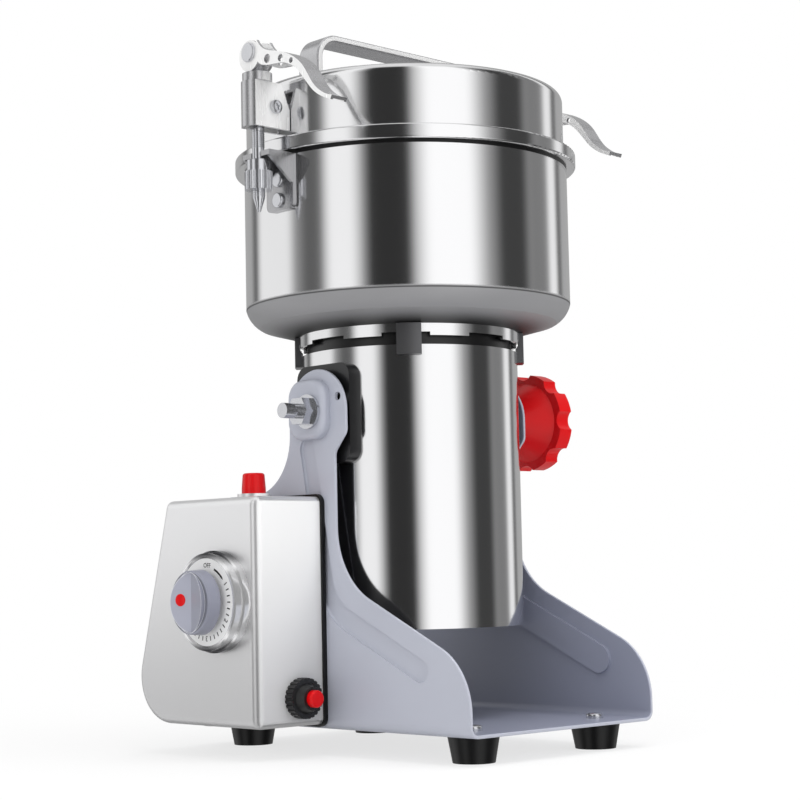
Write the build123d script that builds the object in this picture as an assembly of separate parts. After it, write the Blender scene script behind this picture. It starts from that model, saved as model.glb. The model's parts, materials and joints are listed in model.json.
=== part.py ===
from build123d import *
import os
from math import cos, radians, sin

# A tilting powder grinder: a steel stand, a motor unit hung between its cheeks, a bowl with a clamped lid.
# Lengths are millimetres. The motor's axis is the middle of the design, the floor is z = 0,
# the front is -Y, and the control box stands on the -X cheek.
# Everything is moved to the middle of its own footprint at the end.

# Fits
overrun = 1.0
running_clearance = 0.05
seat_clearance = 0.02
face_gap = 0.1

# Stand of one bent sheet
stand_width = 150.0
stand_front = 120.0
stand_rear = 118.0
sheet_wall = 2.0
bend_radius = 6.0
pivot_height = 197.0
arm_half_width = 25.0
waist_front = 15.0
notch_low_drop = 24.0
notch_high_drop = 13.0
notch_radius = 6.0
throat_height = 101.0
throat_radius = 45.0
nose_height = 52.5
nose_radius = 38.0
shoulder_drop = 46.0
shoulder_radius = 34.0
shoulder_rear = 85.0
shoulder_corner = 4.0
pad_rise = 6.0
pad_front = 12.0
pad_rear = 20.0
pad_below = 16.0
pad_above = 19.0
pad_corner = 11.0
pad_round = 3.0
edge_round = 0.6
dimple_radius = 2.5
dimple_front = 18.5
dimple_above = 8.0
groove_width = 13.0
groove_depth = 2.0
groove_round = 1.2
groove_top_y = 9.0
groove_top_drop = 21.0
groove_bend_y = -8.0
groove_bend_z = 84.0
groove_end_y = -82.0
groove_end_z = 50.0
groove_bend_radius = 30.0

# Feet and their screws
foot_height = 15.0
foot_top_radius = 14.5
foot_bottom_radius = 11.75
foot_x = 50.0
foot_front_y = -97.0
foot_rear_y = 94.0
foot_recess_radius = 5.0
foot_recess_depth = 4.0
foot_screw_radius = 2.5
foot_screw_head_radius = 5.0
foot_screw_head_height = 3.0

# Control box on the left cheek
box_depth = 50.0
box_front_y = -4.0
box_low = 18.0
box_high = 148.0
box_top_rear = 81.0
box_bottom_rear = 118.0
box_wall = 1.5
box_corner = 4.0
box_rear_low_corner = 27.0
box_edge_radius = 5.0
gasket_thickness = 2.5
gasket_lip = 1.5
gasket_land = 6.0

# Timer on the outer face of the box
timer_y = 30.0
timer_z = 89.0
bezel_radius = 29.0
bezel_height = 10.0
bezel_step_radius = 27.6
bezel_step_height = 5.0
bezel_bore = 22.0
bezel_bevel = 0.8
dial_radius = 24.8
dial_low = 7.4
dial_thickness = 1.5
timer_body_radius = 21.0
timer_body_depth = 32.0
timer_neck_radius = 5.0
timer_neck_height = 10.4
timer_shaft_radius = 3.0
timer_shaft_seat = 10.0
timer_shaft_height = 17.5
knob_lift = 13.0
knob_radius = 18.5
knob_skirt_height = 8.0
knob_skirt_draft = 0.6
knob_edge = 0.8
knob_top = 23.5
grip_width = 29.0
grip_valley = 4.0

# Push button on top of the box
switch_x_from_cheek = 25.0
switch_y = 28.0
switch_collar_radius = 9.5
switch_collar_height = 2.5
switch_body_radius = 8.6
switch_body_depth = 24.0
switch_button_radius = 7.0
switch_button_top_radius = 6.3
switch_button_height = 12.0
switch_button_root = 5.0
switch_button_round = 1.5
switch_travel = 3.0

# Overload reset on the front of the box
reset_x_from_cheek = 19.0
reset_z = 34.0
reset_collar_radius = 11.5
reset_collar_height = 6.0
reset_flute_count = 24
reset_flute_radius = 0.7
reset_cone_radius = 8.6
reset_cone_tip_radius = 6.6
reset_cone_height = 11.0
reset_body_radius = 7.5
reset_body_depth = 26.0
reset_button_radius = 4.85
reset_button_height = 15.0
reset_button_root = 4.0
reset_button_round = 1.0
reset_travel = 2.5

# Cord inlet in the floor of the box
grommet_x_from_cheek = 25.0
grommet_y = 62.0
grommet_radius = 8.0
grommet_bore = 4.0
grommet_flange = 10.0
grommet_flange_height = 1.5

# Motor housing
housing_radius = 65.5
housing_wall = 1.5
housing_below_pivot = 126.0
housing_length = 163.0
base_plate_wall = 3.0
base_plate_rise = 2.0
base_boss_radius = 17.0
base_boss_height = 13.0
base_vent_count = 12
base_vent_width = 5.0
base_vent_inner = 26.0
base_vent_outer = 54.0
base_nub_radius = 3.0
base_nub_height = 4.0
base_nub_at = 58.0
base_nub_angle = -12.0

# Neck between the motor and the bowl
sleeve_inset = 3.5
sleeve_wall = 3.0
vent_ring_overhang = 1.5
vent_ring_wall = 2.0
neck_gap = 5.0
vent_ring_height = 7.0
vent_notch_count = 8
vent_notch_height = 2.0
vent_notch_angle = 24.0
post_count = 4
post_width = 14.5
post_thickness = 2.5
post_overlap = 6.0
post_turn = 46.5

# Bowl and seal
bowl_radius = 98.5
bowl_wall = 2.5
bowl_floor = 5.0
bowl_shoulder_inset = 8.5
bowl_shoulder_rise = 6.0
bowl_wall_rise = 17.0
bowl_depth = 98.5
bowl_hole_radius = 9.0
seal_thickness = 1.5

# Lid
lid_ring_overhang = 5.5
lid_ring_height = 8.5
lid_ring_round = 1.2
lid_inset = 1.5
lid_wall = 2.0
lid_rise = 37.0
lid_edge_radius = 5.0
lid_spigot_depth = 4.0
lid_spigot_wall = 2.0
spigot_clearance = 0.4

# Lid handle
handle_half_length = 77.0
handle_rise = 29.0
handle_width = 18.0
handle_thickness = 4.0
handle_round = 1.2
handle_corner = 15.0
handle_foot = 14.0
handle_rivet_radius = 3.0
handle_rivet_head_radius = 5.0
handle_rivet_head_height = 2.0

# Latches
rod_standoff = 17.2
rod_radius = 3.5
rod_tip_drop = 34.5
rod_tip_height = 8.0
rod_tip_radius = 1.0
rod_eye_radius = 4.5
rod_eye_thickness = 5.0
latch_pivot_inset = 7.7
latch_pivot_rise = 16.5
latch_screw_radius = 2.0
latch_screw_head_radius = 4.0
latch_screw_head_height = 2.2
lug_radius = 3.9
strap_radius = 9.4
strap_half_width = 6.5
strap_wall = 2.0
strap_gap = 4.2
strap_height = 26.5
strap_wall_gap = 0.5
strap_relief = 6.0
guide_radius = 8.6
guide_height = 5.0
lever_pin_rise = 11.7
lever_width = 11.5
lever_wall = 1.8
lever_cam_radius = 9.0
lever_cam_offset = 1.9
lever_mouth = 12.0
lever_reach = 71.0
lever_tip_drop = 40.0
lever_top_shares = [
    (0.10, -0.15), (0.22, 0.04), (0.36, 0.11), (0.50, 0.21), (0.59, 0.31), (0.67, 0.445), (0.78, 0.72),
    (0.90, 0.895), (1.0, 0.965)]
lever_low_shares = [
    (0.985, 1.02), (0.886, 0.945), (0.80, 0.85), (0.663, 0.59), (0.589, 0.455), (0.513, 0.363),
    (0.434, 0.305), (0.325, 0.28), (0.14, 0.22)]
lever_pin_radius = 2.5
lever_pin_head_radius = 5.6
lever_pin_head_height = 1.6
lever_hole_radius = 2.6
lever_hole_shrink = 0.5
lever_hole_shares = [(0.227, 0.17), (0.393, 0.222), (0.522, 0.305)]
nut_radius = 8.0
nut_drop = 22.0
nut_knurl_height = 10.8
nut_collar_radius = 6.8
nut_flute_count = 20
nut_flute_radius = 0.8
nut_dome = 1.3
nut_clearance = 0.6

# Keepers on the bowl
keeper_shelf_wall = 3.0
keeper_half_width = 12.0
keeper_plate_wall = 2.5
keeper_height = 32.0
keeper_corner = 4.0
keeper_reach = 1.8
keeper_slot_clearance = 0.6
keeper_gusset_wall = 2.0
keeper_gusset_drop = 14.0
keeper_rivet_radius = 2.6
keeper_rivet_height = 1.8
keeper_rivet_rise = 6.0
keeper_rivet_pitch = 12.0

# Tilt pivot
stud_radius = 4.4
stud_end = 20.0
saddle_half_width = 23.0
saddle_below = 30.0
saddle_above = 28.0
saddle_corner = 8.0
saddle_gap = 1.0
bush_radius = 6.5
bush_flange_radius = 9.0
bush_flange_wall = 1.5
washer_radius = 10.0
washer_wall = 2.0
pivot_nut_across = 15.0
pivot_nut_height = 7.0

# Red clamp knob on the right end of the pivot
clamp_radius = 31.0
clamp_hub_radius = 12.0
clamp_cone_radius = 25.5
clamp_rim_height = 12.0
clamp_length = 30.0
clamp_lobe_count = 8
clamp_scallop_radius = 7.0
clamp_scallop_depth = 3.5
clamp_edge_radius = 2.0
clamp_cap_wall = 4.0

# Motor and cutters
shaft_radius = 5.0
shaft_rise = 7.0
shaft_into_bowl = 54.0
bearing_radius = 13.0
bearing_height = 9.0
bearing_plate_wall = 4.0
bearing_boss_radius = 17.0
bearing_plate_window_radius = 9.0
bearing_plate_window_at = 36.0
bearing_plate_window_count = 6
stator_inner_radius = 27.0
stator_flat = 50.0
stator_rise = 37.0
stator_height = 64.0
coil_inner_radius = 29.0
coil_outer_radius = 46.0
coil_height = 12.0
rotor_radius = 26.4
fan_radius = 48.0
fan_hub_radius = 12.0
fan_rise = 33.0
fan_plate_wall = 2.0
fan_height = 14.0
fan_blade_count = 9
fan_blade_wall = 2.0
blade_tip_gap = 14.5
blade_width = 20.0
blade_wall = 3.0
blade_tip_width = 9.0
blade_lower_rise = 13.0
blade_pitch = 22.0
blade_hub_radius = 11.0
blade_nut_across = 17.0
blade_nut_height = 8.0
blade_turn = 90.0

# Places worked out from the sizes above
plate_low = foot_height
cheek_outer = stand_width / 2
cheek_inner = cheek_outer - sheet_wall
pad_face = cheek_outer + pad_rise
notch_low = pivot_height - notch_low_drop
notch_high = pivot_height - notch_high_drop
shoulder_height = pivot_height - shoulder_drop
groove_top_z = pivot_height - groove_top_drop
box_mouth = cheek_outer + gasket_thickness
box_face = cheek_outer + box_depth
housing_low = pivot_height - housing_below_pivot
housing_high = housing_low + housing_length
sleeve_radius = housing_radius - sleeve_inset
vent_ring_radius = housing_radius + vent_ring_overhang
vent_ring_low = housing_high + neck_gap
vent_ring_high = vent_ring_low + vent_ring_height
bowl_low = vent_ring_high
bowl_rim = bowl_low + bowl_depth
bowl_shoulder_radius = bowl_radius - bowl_shoulder_inset
seal_low = bowl_rim
lid_low = seal_low + seal_thickness
lid_ring_high = lid_low + lid_ring_height
lid_ring_radius = bowl_radius + lid_ring_overhang
lid_radius = bowl_radius - lid_inset
lid_top = lid_ring_high + lid_rise
saddle_face = cheek_inner - groove_depth - saddle_gap
rod_offset = bowl_radius + rod_standoff
rod_tip = bowl_rim - rod_tip_drop
latch_pivot_offset = rod_offset - latch_pivot_inset
latch_pivot_height = lid_ring_high + latch_pivot_rise
strap_low = lid_ring_high + strap_gap
strap_high = strap_low + strap_height
guide_top = strap_high + guide_height
lever_pin_height = guide_top + lever_pin_rise
keeper_shelf = bowl_rim - keeper_shelf_wall
keeper_low = bowl_rim - keeper_height
nut_low = bowl_rim - nut_drop
nut_high = keeper_shelf - nut_clearance
nut_collar_low = nut_low + nut_knurl_height
clamp_low = pad_face + washer_wall + 2 * face_gap
clamp_high = clamp_low + clamp_length
bearing_upper_low = housing_high - bearing_height
base_top = housing_low + base_plate_rise + base_plate_wall
shaft_low = housing_low + shaft_rise
shaft_high = bowl_low + shaft_into_bowl
stator_low = housing_low + stator_rise
stator_high = stator_low + stator_height
fan_low = stator_high + fan_rise
blade_length = bowl_radius - blade_tip_gap
blade_lower_at = bowl_low + blade_lower_rise
blade_upper_at = blade_lower_at + blade_pitch


def disc(radius, low, high):
    """A round bar about the motor's axis between two heights."""
    return Pos(0, 0, low) * extrude(Circle(radius), high - low)


def tube(outer, inner, low, high):
    """A round tube about the motor's axis between two heights."""
    return disc(outer, low, high) - disc(inner, low - overrun, high + overrun)


def turned(*points):
    """A closed profile of (radius, height) points spun about the Z axis."""
    return revolve(Plane.XZ * make_face(Polyline(*points, close=True)), Axis.Z)


def block(x_low, x_high, y_low, y_high, z_low, z_high):
    """A plain block between two opposite corners."""
    size = (x_high - x_low, y_high - y_low, z_high - z_low)
    middle = ((x_low + x_high) / 2, (y_low + y_high) / 2, (z_low + z_high) / 2)
    return Pos(*middle) * Box(*size)


def side_plate(sketch, x_low, x_high):
    """A sketch drawn in (Y, Z) made into a plate between two X places."""
    return extrude(Plane.YZ.offset(x_low) * sketch, x_high - x_low)


def nearest_corner(sketch, x, y):
    """The corner of a sketch that lies nearest to a point."""
    return sketch.vertices().sort_by_distance((x, y, 0))[0]


def rounded(sketch, corners):
    """A sketch with the corners at the given (x, y, radius) rounded."""
    for x, y, radius in corners:
        sketch = fillet(nearest_corner(sketch, x, y), radius)
    return sketch


def hexagon(across, low, high):
    """A hexagonal bar of a width across its flats."""
    return Pos(0, 0, low) * extrude(RegularPolygon(across / 2, 6, major_radius=False), high - low)


def fluted(radius, count, flute, low, high):
    """A round bar with flutes cut along its side, as a knurl."""
    bar = disc(radius, low, high)
    cutters = [loc * disc(flute, low - overrun, high + overrun) for loc in PolarLocations(radius, count)]
    return bar - cutters


def facing_left(x, y, z):
    """A frame at a point whose own Z points to -X and whose own Y points up."""
    return Location(Plane(origin=(x, y, z), x_dir=(0, -1, 0), z_dir=(-1, 0, 0)))


def facing_front(x, y, z):
    """A frame at a point whose own Z points to the front, -Y."""
    return Location(Plane(origin=(x, y, z), x_dir=(1, 0, 0), z_dir=(0, -1, 0)))


def facing_right(x, y, z):
    """A frame at a point whose own Z points to +X."""
    return Location(Plane(origin=(x, y, z), x_dir=(0, 1, 0), z_dir=(1, 0, 0)))


def on_right(part):
    """The mirror image of a left-hand piece."""
    return mirror(part, about=Plane.YZ)


# Stand

def cheek_outline():
    """The side view of a cheek in (Y, Z): a long front foot, a waist, a round arm and a tall rear."""
    arm_front = (-arm_half_width, pivot_height)
    arm_rear = (arm_half_width, pivot_height)
    edges = Polyline(
        arm_rear, (arm_half_width, shoulder_height), (shoulder_rear, shoulder_height),
        (stand_rear, plate_low), (-stand_front, plate_low), (-stand_front, nose_height),
        (-waist_front, throat_height), (-waist_front, notch_low), (-arm_half_width, notch_high), arm_front)
    top = ThreePointArc(arm_front, (0, pivot_height + arm_half_width), arm_rear)
    return rounded(make_face(edges.edges() + top.edges()), [
        (arm_half_width, shoulder_height, shoulder_radius),
        (shoulder_rear, shoulder_height, shoulder_corner),
        (-stand_front, nose_height, nose_radius),
        (-waist_front, throat_height, throat_radius),
        (-waist_front, notch_low, notch_radius),
        (-arm_half_width, notch_high, notch_radius)])


def groove_band(width):
    """The pressed groove of a cheek as a band in (Y, Z) with round ends."""
    path = FilletPolyline(
        (groove_top_y, groove_top_z), (groove_bend_y, groove_bend_z), (groove_end_y, groove_end_z),
        radius=groove_bend_radius)
    ends = [(groove_top_y, groove_top_z), (groove_end_y, groove_end_z)]
    return trace(path, width) + [Pos(y, z) * Circle(width / 2) for y, z in ends]


def pad_outline(inset):
    """The raised pad round the pivot, in (Y, Z), drawn in by an inset."""
    length = pad_front + pad_rear - 2 * inset
    height = pad_below + pad_above - 2 * inset
    middle = ((pad_rear - pad_front) / 2, pivot_height + (pad_above - pad_below) / 2)
    return Pos(*middle) * RectangleRounded(length, height, pad_corner - inset)


def make_stand_frame():
    """The stand: base and both cheeks bent from one sheet, with pressed pads and grooves."""
    top = pivot_height + arm_half_width + overrun
    height = top - plate_low
    outer = Pos(0, plate_low + height / 2) * Rectangle(stand_width, height)
    outer = rounded(outer, [(-cheek_outer, plate_low, bend_radius), (cheek_outer, plate_low, bend_radius)])
    inner_low = plate_low + sheet_wall
    inner = Pos(0, inner_low + height / 2) * Rectangle(2 * cheek_inner, height)
    inner_bend = bend_radius - sheet_wall
    inner = rounded(inner, [(-cheek_inner, inner_low, inner_bend), (cheek_inner, inner_low, inner_bend)])
    channel = extrude(Plane.XZ.offset(-stand_rear) * (outer - inner), stand_front + stand_rear)
    frame = channel & side_plate(cheek_outline(), -cheek_outer - overrun, cheek_outer + overrun)
    bend_length = stand_front + stand_rear
    free = [edge for edge in frame.edges()
            if sheet_wall < edge.length - seat_clearance < bend_length - overrun]
    frame = fillet(free, edge_round)
    pad = side_plate(pad_outline(0), -pad_face, -cheek_inner)
    pad = fillet(pad.faces().sort_by(Axis.X)[0].edges(), pad_round)
    bulge = groove_band(groove_width + 2 * sheet_wall)
    bulge = side_plate(bulge, -cheek_outer, -cheek_inner + groove_depth)
    hollow = side_plate(pad_outline(sheet_wall), -pad_face + sheet_wall, -cheek_inner + overrun)
    hollow = fillet(hollow.faces().sort_by(Axis.X)[0].edges(), pad_round - sheet_wall)
    groove = side_plate(groove_band(groove_width), -cheek_outer - overrun, -cheek_outer + groove_depth)
    groove = fillet(groove.faces().sort_by(Axis.X)[-1].edges(), groove_round)
    dimple = Pos(-dimple_front, pivot_height + dimple_above) * Circle(dimple_radius)
    bush_hole = Pos(0, pivot_height) * Circle(bush_radius + seat_clearance)
    holes = side_plate(dimple + bush_hole, -pad_face - overrun, -cheek_inner + overrun)
    frame = frame + bulge + on_right(bulge)
    frame = frame - groove - on_right(groove)
    frame = frame + pad + on_right(pad)
    frame = frame - hollow - on_right(hollow) - holes - on_right(holes)
    screw_hole = disc(foot_screw_radius + seat_clearance, plate_low - overrun, inner_low + overrun)
    return frame - [Pos(x, y, 0) * screw_hole for x, y in foot_places()]


def foot_places():
    """The places of the four feet."""
    return [(x, y) for x in (-foot_x, foot_x) for y in (foot_front_y, foot_rear_y)]


def make_feet():
    """Four tapered rubber feet with a sunk screw seat."""
    foot = turned((0, 0), (foot_bottom_radius, 0), (foot_top_radius, foot_height), (0, foot_height))
    foot = foot - disc(foot_recess_radius, -overrun, foot_recess_depth)
    foot = foot - disc(foot_screw_radius + seat_clearance, 0, foot_height + overrun)
    return [Pos(x, y, 0) * foot for x, y in foot_places()]


def make_foot_screws():
    """Four pan-head screws through the base into the feet."""
    plate_high = plate_low + sheet_wall
    head_top = plate_high + foot_screw_head_height
    screw = disc(foot_screw_radius, foot_recess_depth, plate_high)
    head = disc(foot_screw_head_radius, plate_high, head_top)
    head = fillet(head.edges().sort_by(Axis.Z)[-1], foot_screw_head_height / 2)
    return [Pos(x, y, 0) * (screw + head) for x, y in foot_places()]


# Control box

def box_outline():
    """The side view of the control box in (Y, Z), with its sloped back."""
    corners = [
        (box_front_y, box_low), (box_bottom_rear, box_low),
        (box_top_rear, box_high), (box_front_y, box_high)]
    radii = [box_corner, box_rear_low_corner, box_corner, box_corner]
    face = make_face(Polyline(*corners, close=True))
    return rounded(face, [(y, z, radius) for (y, z), radius in zip(corners, radii)])


def make_control_box():
    """The stainless control box: a shell open towards the cheek."""
    shell = side_plate(box_outline(), -box_face, -box_mouth)
    shell = fillet(shell.faces().sort_by(Axis.X)[0].edges(), box_edge_radius)
    inside = offset(box_outline(), -box_wall)
    cavity = side_plate(inside, -box_face + box_wall, -box_mouth + overrun)
    cavity = fillet(cavity.faces().sort_by(Axis.X)[0].edges(), box_edge_radius - box_wall)
    timer_hole = timer_place() * disc(timer_neck_radius + seat_clearance, -2 * box_wall, overrun)
    switch_hole = switch_place() * disc(switch_body_radius + seat_clearance, -2 * box_wall, overrun)
    reset_hole = reset_place() * disc(reset_body_radius + seat_clearance, -2 * box_wall, overrun)
    cord_hole = grommet_place() * disc(grommet_radius + seat_clearance, -overrun, 2 * box_wall)
    return shell - cavity - timer_hole - switch_hole - reset_hole - cord_hole


def make_box_gasket():
    """The black gasket between the box and the cheek."""
    ring = offset(box_outline(), gasket_lip) - offset(box_outline(), -gasket_land)
    return side_plate(ring, -box_mouth, -cheek_outer)


def timer_place():
    """The timer's frame on the outer face of the box."""
    return facing_left(-box_face, timer_y, timer_z)


def switch_place():
    """The push button's frame on top of the box."""
    return Pos(-cheek_outer - switch_x_from_cheek, switch_y, box_high)


def reset_place():
    """The reset's frame on the front of the box."""
    return facing_front(-cheek_outer - reset_x_from_cheek, box_front_y, reset_z)


def grommet_place():
    """The cord inlet's frame in the floor of the box."""
    return Pos(-cheek_outer - grommet_x_from_cheek, grommet_y, box_low)


def make_timer_bezel():
    """The stepped chrome ring round the dial."""
    return timer_place() * turned(
        (bezel_bore, 0), (bezel_radius, 0), (bezel_radius, bezel_step_height - bezel_bevel),
        (bezel_radius - bezel_bevel, bezel_step_height), (bezel_step_radius, bezel_step_height),
        (bezel_step_radius, bezel_height - bezel_bevel), (bezel_step_radius - bezel_bevel, bezel_height),
        (dial_radius + bezel_bevel, bezel_height), (dial_radius, bezel_height - bezel_bevel),
        (dial_radius, dial_low), (bezel_bore, dial_low))


def make_timer_dial():
    """The dial plate on the ledge inside the bezel."""
    bore = timer_neck_radius + seat_clearance
    return timer_place() * tube(dial_radius - seat_clearance, bore, dial_low, dial_low + dial_thickness)


def make_timer_body():
    """The clockwork can behind the box's face, with its neck through the face and the dial."""
    can = disc(timer_body_radius, -box_wall - timer_body_depth, -box_wall)
    neck = disc(timer_neck_radius, -box_wall, timer_neck_height)
    bore_low = -timer_shaft_seat - face_gap
    bore = disc(timer_shaft_radius + running_clearance, bore_low, timer_neck_height + overrun)
    return timer_place() * (can + neck - bore)


def make_timer_shaft():
    """The timer's turning shaft."""
    return timer_place() * disc(timer_shaft_radius, -timer_shaft_seat, timer_shaft_height)


def make_timer_knob():
    """The timer knob: a round skirt with a leaf-shaped grip, whose two facets meet in a valley."""
    skirt_high = knob_lift + knob_skirt_height
    rim = knob_radius - knob_skirt_draft
    half_length = rim - knob_edge
    skirt = turned(
        (0, knob_lift), (knob_radius, knob_lift), (rim, skirt_high - knob_edge),
        (half_length, skirt_high), (0, skirt_high))
    arc_radius = (half_length ** 2 + (grip_width / 2) ** 2) / grip_width
    arc_offset = arc_radius - grip_width / 2
    leaf = Pos(-arc_offset, 0) * Circle(arc_radius) & Pos(arc_offset, 0) * Circle(arc_radius)
    grip = Pos(0, 0, skirt_high) * extrude(leaf, knob_top - skirt_high)
    valley_low = knob_top - grip_valley
    valley = make_face(Polyline(
        (0, valley_low), (grip_width / 2, knob_top), (grip_width / 2, knob_top + overrun),
        (-grip_width / 2, knob_top + overrun), (-grip_width / 2, knob_top), close=True))
    valley = extrude(Plane.XZ * valley, knob_radius, both=True)
    valley = valley & Pos(0, 0, knob_lift) * extrude(leaf, knob_top + overrun)
    bore = disc(timer_shaft_radius + seat_clearance, knob_lift - overrun, timer_shaft_height)
    return timer_place() * (skirt + grip - valley - bore)


def make_switch_housing():
    """The push button's collar and body, one moulding through the top of the box."""
    bore_low = switch_collar_height - switch_button_root - switch_travel - face_gap
    collar = disc(switch_collar_radius, 0, switch_collar_height)
    body = disc(switch_body_radius, -switch_body_depth, 0)
    bore = disc(switch_button_radius + running_clearance, bore_low, switch_collar_height + overrun)
    return switch_place() * (collar + body - bore)


def make_switch_button():
    """The red push button, tapered above its travel."""
    low = switch_collar_height - switch_button_root
    straight = switch_collar_height + switch_travel + face_gap
    high = switch_collar_height + switch_button_height
    button = turned(
        (0, low), (switch_button_radius, low), (switch_button_radius, straight),
        (switch_button_top_radius, high), (0, high))
    return switch_place() * fillet(button.edges().sort_by(Axis.Z)[-1], switch_button_round)


def make_reset_housing():
    """The overload switch: a fluted collar, a stepped cone and a body through the front of the box."""
    collar = fluted(reset_collar_radius, reset_flute_count, reset_flute_radius, 0, reset_collar_height)
    cone = turned(
        (0, reset_collar_height), (reset_cone_radius, reset_collar_height),
        (reset_cone_tip_radius, reset_cone_height), (0, reset_cone_height))
    body = disc(reset_body_radius, -reset_body_depth, 0)
    bore_low = reset_cone_height - reset_button_root - reset_travel - face_gap
    bore = disc(reset_button_radius + running_clearance, bore_low, reset_cone_height + overrun)
    return reset_place() * (collar + cone + body - bore)


def make_reset_button():
    """The red reset button."""
    button = disc(reset_button_radius, reset_cone_height - reset_button_root, reset_button_height)
    return reset_place() * fillet(button.edges().sort_by(Axis.Z)[-1], reset_button_round)


def make_cord_grommet():
    """The rubber grommet of the cord inlet."""
    flange = disc(grommet_flange, -grommet_flange_height, 0)
    sleeve = disc(grommet_radius, 0, box_wall)
    inner_flange = disc(grommet_flange, box_wall, box_wall + grommet_flange_height)
    bore = disc(grommet_bore, -grommet_flange_height - overrun, box_wall + grommet_flange_height + overrun)
    return grommet_place() * (flange + sleeve + inner_flange - bore)


# Tilt pivot

def make_pivot_bushes():
    """A flanged bush in each cheek."""
    flange_low = pad_face - sheet_wall - bush_flange_wall
    flange = disc(bush_flange_radius, flange_low, pad_face - sheet_wall)
    bush = flange + disc(bush_radius, flange_low, pad_face)
    bush = bush - disc(stud_radius + running_clearance, flange_low - overrun, pad_face + overrun)
    return [facing_left(0, 0, pivot_height) * bush, facing_right(0, 0, pivot_height) * bush]


def make_pivot_saddles():
    """A pad on each side of the housing that carries a pivot stud, hollowed to the housing's round."""
    height = saddle_below + saddle_above
    outline = RectangleRounded(2 * saddle_half_width, height, saddle_corner)
    outline = Pos(0, pivot_height + (saddle_above - saddle_below) / 2) * outline
    room_low = pivot_height - saddle_below - overrun
    room = disc(housing_radius, room_low, pivot_height + saddle_above + overrun)
    plate = side_plate(outline, -saddle_face, 0) - room
    hole = facing_left(0, 0, pivot_height) * disc(stud_radius + seat_clearance, 0, saddle_face + overrun)
    saddle = plate - hole
    return [saddle, on_right(saddle)]


def make_pivot_stud(end):
    """A stud from the housing's wall out through a cheek, to a given end."""
    return facing_left(0, 0, pivot_height) * disc(stud_radius, housing_radius, end)


def make_pivot_nut():
    """The hexagon nut on the left stud."""
    low = pad_face + washer_wall + face_gap
    high = low + pivot_nut_height
    bore = disc(stud_radius + seat_clearance, low - overrun, high + overrun)
    return facing_left(0, 0, pivot_height) * (hexagon(pivot_nut_across, low, high) - bore)


def make_pivot_washers():
    """A washer outside each cheek."""
    low = pad_face + face_gap
    washer = tube(washer_radius, stud_radius + seat_clearance, low, low + washer_wall)
    return [facing_left(0, 0, pivot_height) * washer, facing_right(0, 0, pivot_height) * washer]


def make_clamp_knob():
    """The lobed clamp knob: a hub that flares in a cone to a scalloped rim."""
    rim_low = clamp_high - clamp_rim_height
    knob = turned(
        (0, clamp_low), (clamp_hub_radius, clamp_low), (clamp_cone_radius, rim_low),
        (clamp_radius, rim_low), (clamp_radius, clamp_high), (0, clamp_high))
    scallop_at = clamp_radius + clamp_scallop_radius - clamp_scallop_depth
    scallop = disc(clamp_scallop_radius, clamp_low, clamp_high + overrun)
    knob = knob - [loc * scallop for loc in PolarLocations(scallop_at, clamp_lobe_count)]
    knob = fillet(knob.faces().sort_by(Axis.Z)[-1].edges(), clamp_edge_radius)
    knob = knob - disc(stud_radius + seat_clearance, clamp_low - overrun, clamp_high - clamp_cap_wall)
    return facing_right(0, 0, pivot_height) * knob


# Motor housing and neck

def make_motor_housing():
    """The polished tube round the motor."""
    return tube(housing_radius, housing_radius - housing_wall, housing_low, housing_high)


def make_housing_base():
    """The vented plate that closes the housing and carries the lower bearing."""
    low = housing_low + base_plate_rise
    plate = disc(housing_radius - housing_wall, low, base_top)
    boss_top = base_top + base_boss_height
    boss = disc(base_boss_radius, low, boss_top)
    vent_length = base_vent_outer - base_vent_inner
    vent = extrude(SlotOverall(vent_length, base_vent_width), base_plate_wall + 2 * overrun)
    vent = Pos(0, 0, low - overrun) * vent
    vents = [loc * vent for loc in PolarLocations((base_vent_inner + base_vent_outer) / 2, base_vent_count)]
    nub_x = base_nub_at * cos(radians(base_nub_angle))
    nub_y = base_nub_at * sin(radians(base_nub_angle))
    nub = Pos(nub_x, nub_y, 0) * disc(base_nub_radius, low - base_nub_height, low)
    bearing_seat = disc(bearing_radius + seat_clearance, boss_top - bearing_height, shaft_high)
    shaft_hole = disc(shaft_radius + overrun, shaft_low - face_gap, shaft_high)
    return plate + boss - vents + nub - bearing_seat - shaft_hole


def make_neck_sleeve():
    """The black sleeve seen through the slots of the neck."""
    return tube(sleeve_radius, sleeve_radius - sleeve_wall, housing_high, bowl_low)


def make_vent_ring():
    """The bright ring under the bowl, with a notched lower edge."""
    ring = tube(vent_ring_radius, vent_ring_radius - vent_ring_wall, vent_ring_low, vent_ring_high)
    notch_width = vent_ring_radius * radians(vent_notch_angle)
    notch = block(0, vent_ring_radius + overrun, -notch_width / 2, notch_width / 2,
                  vent_ring_low - overrun, vent_ring_low + vent_notch_height)
    return ring - [loc * notch for loc in PolarLocations(0, vent_notch_count)]


def make_neck_posts():
    """Posts that tie the housing to the bowl across the neck."""
    outer = vent_ring_radius + post_thickness
    low = housing_high - post_overlap
    shell = tube(outer, vent_ring_radius, low, bowl_low)
    foot = tube(outer, housing_radius, low, vent_ring_low - overrun)
    strip = block(0, 2 * vent_ring_radius, -post_width / 2, post_width / 2, housing_low, bowl_low)
    post = (shell + foot) & strip
    return [loc * post for loc in PolarLocations(0, post_count, start_angle=post_turn)]


# Bowl and lid

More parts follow.
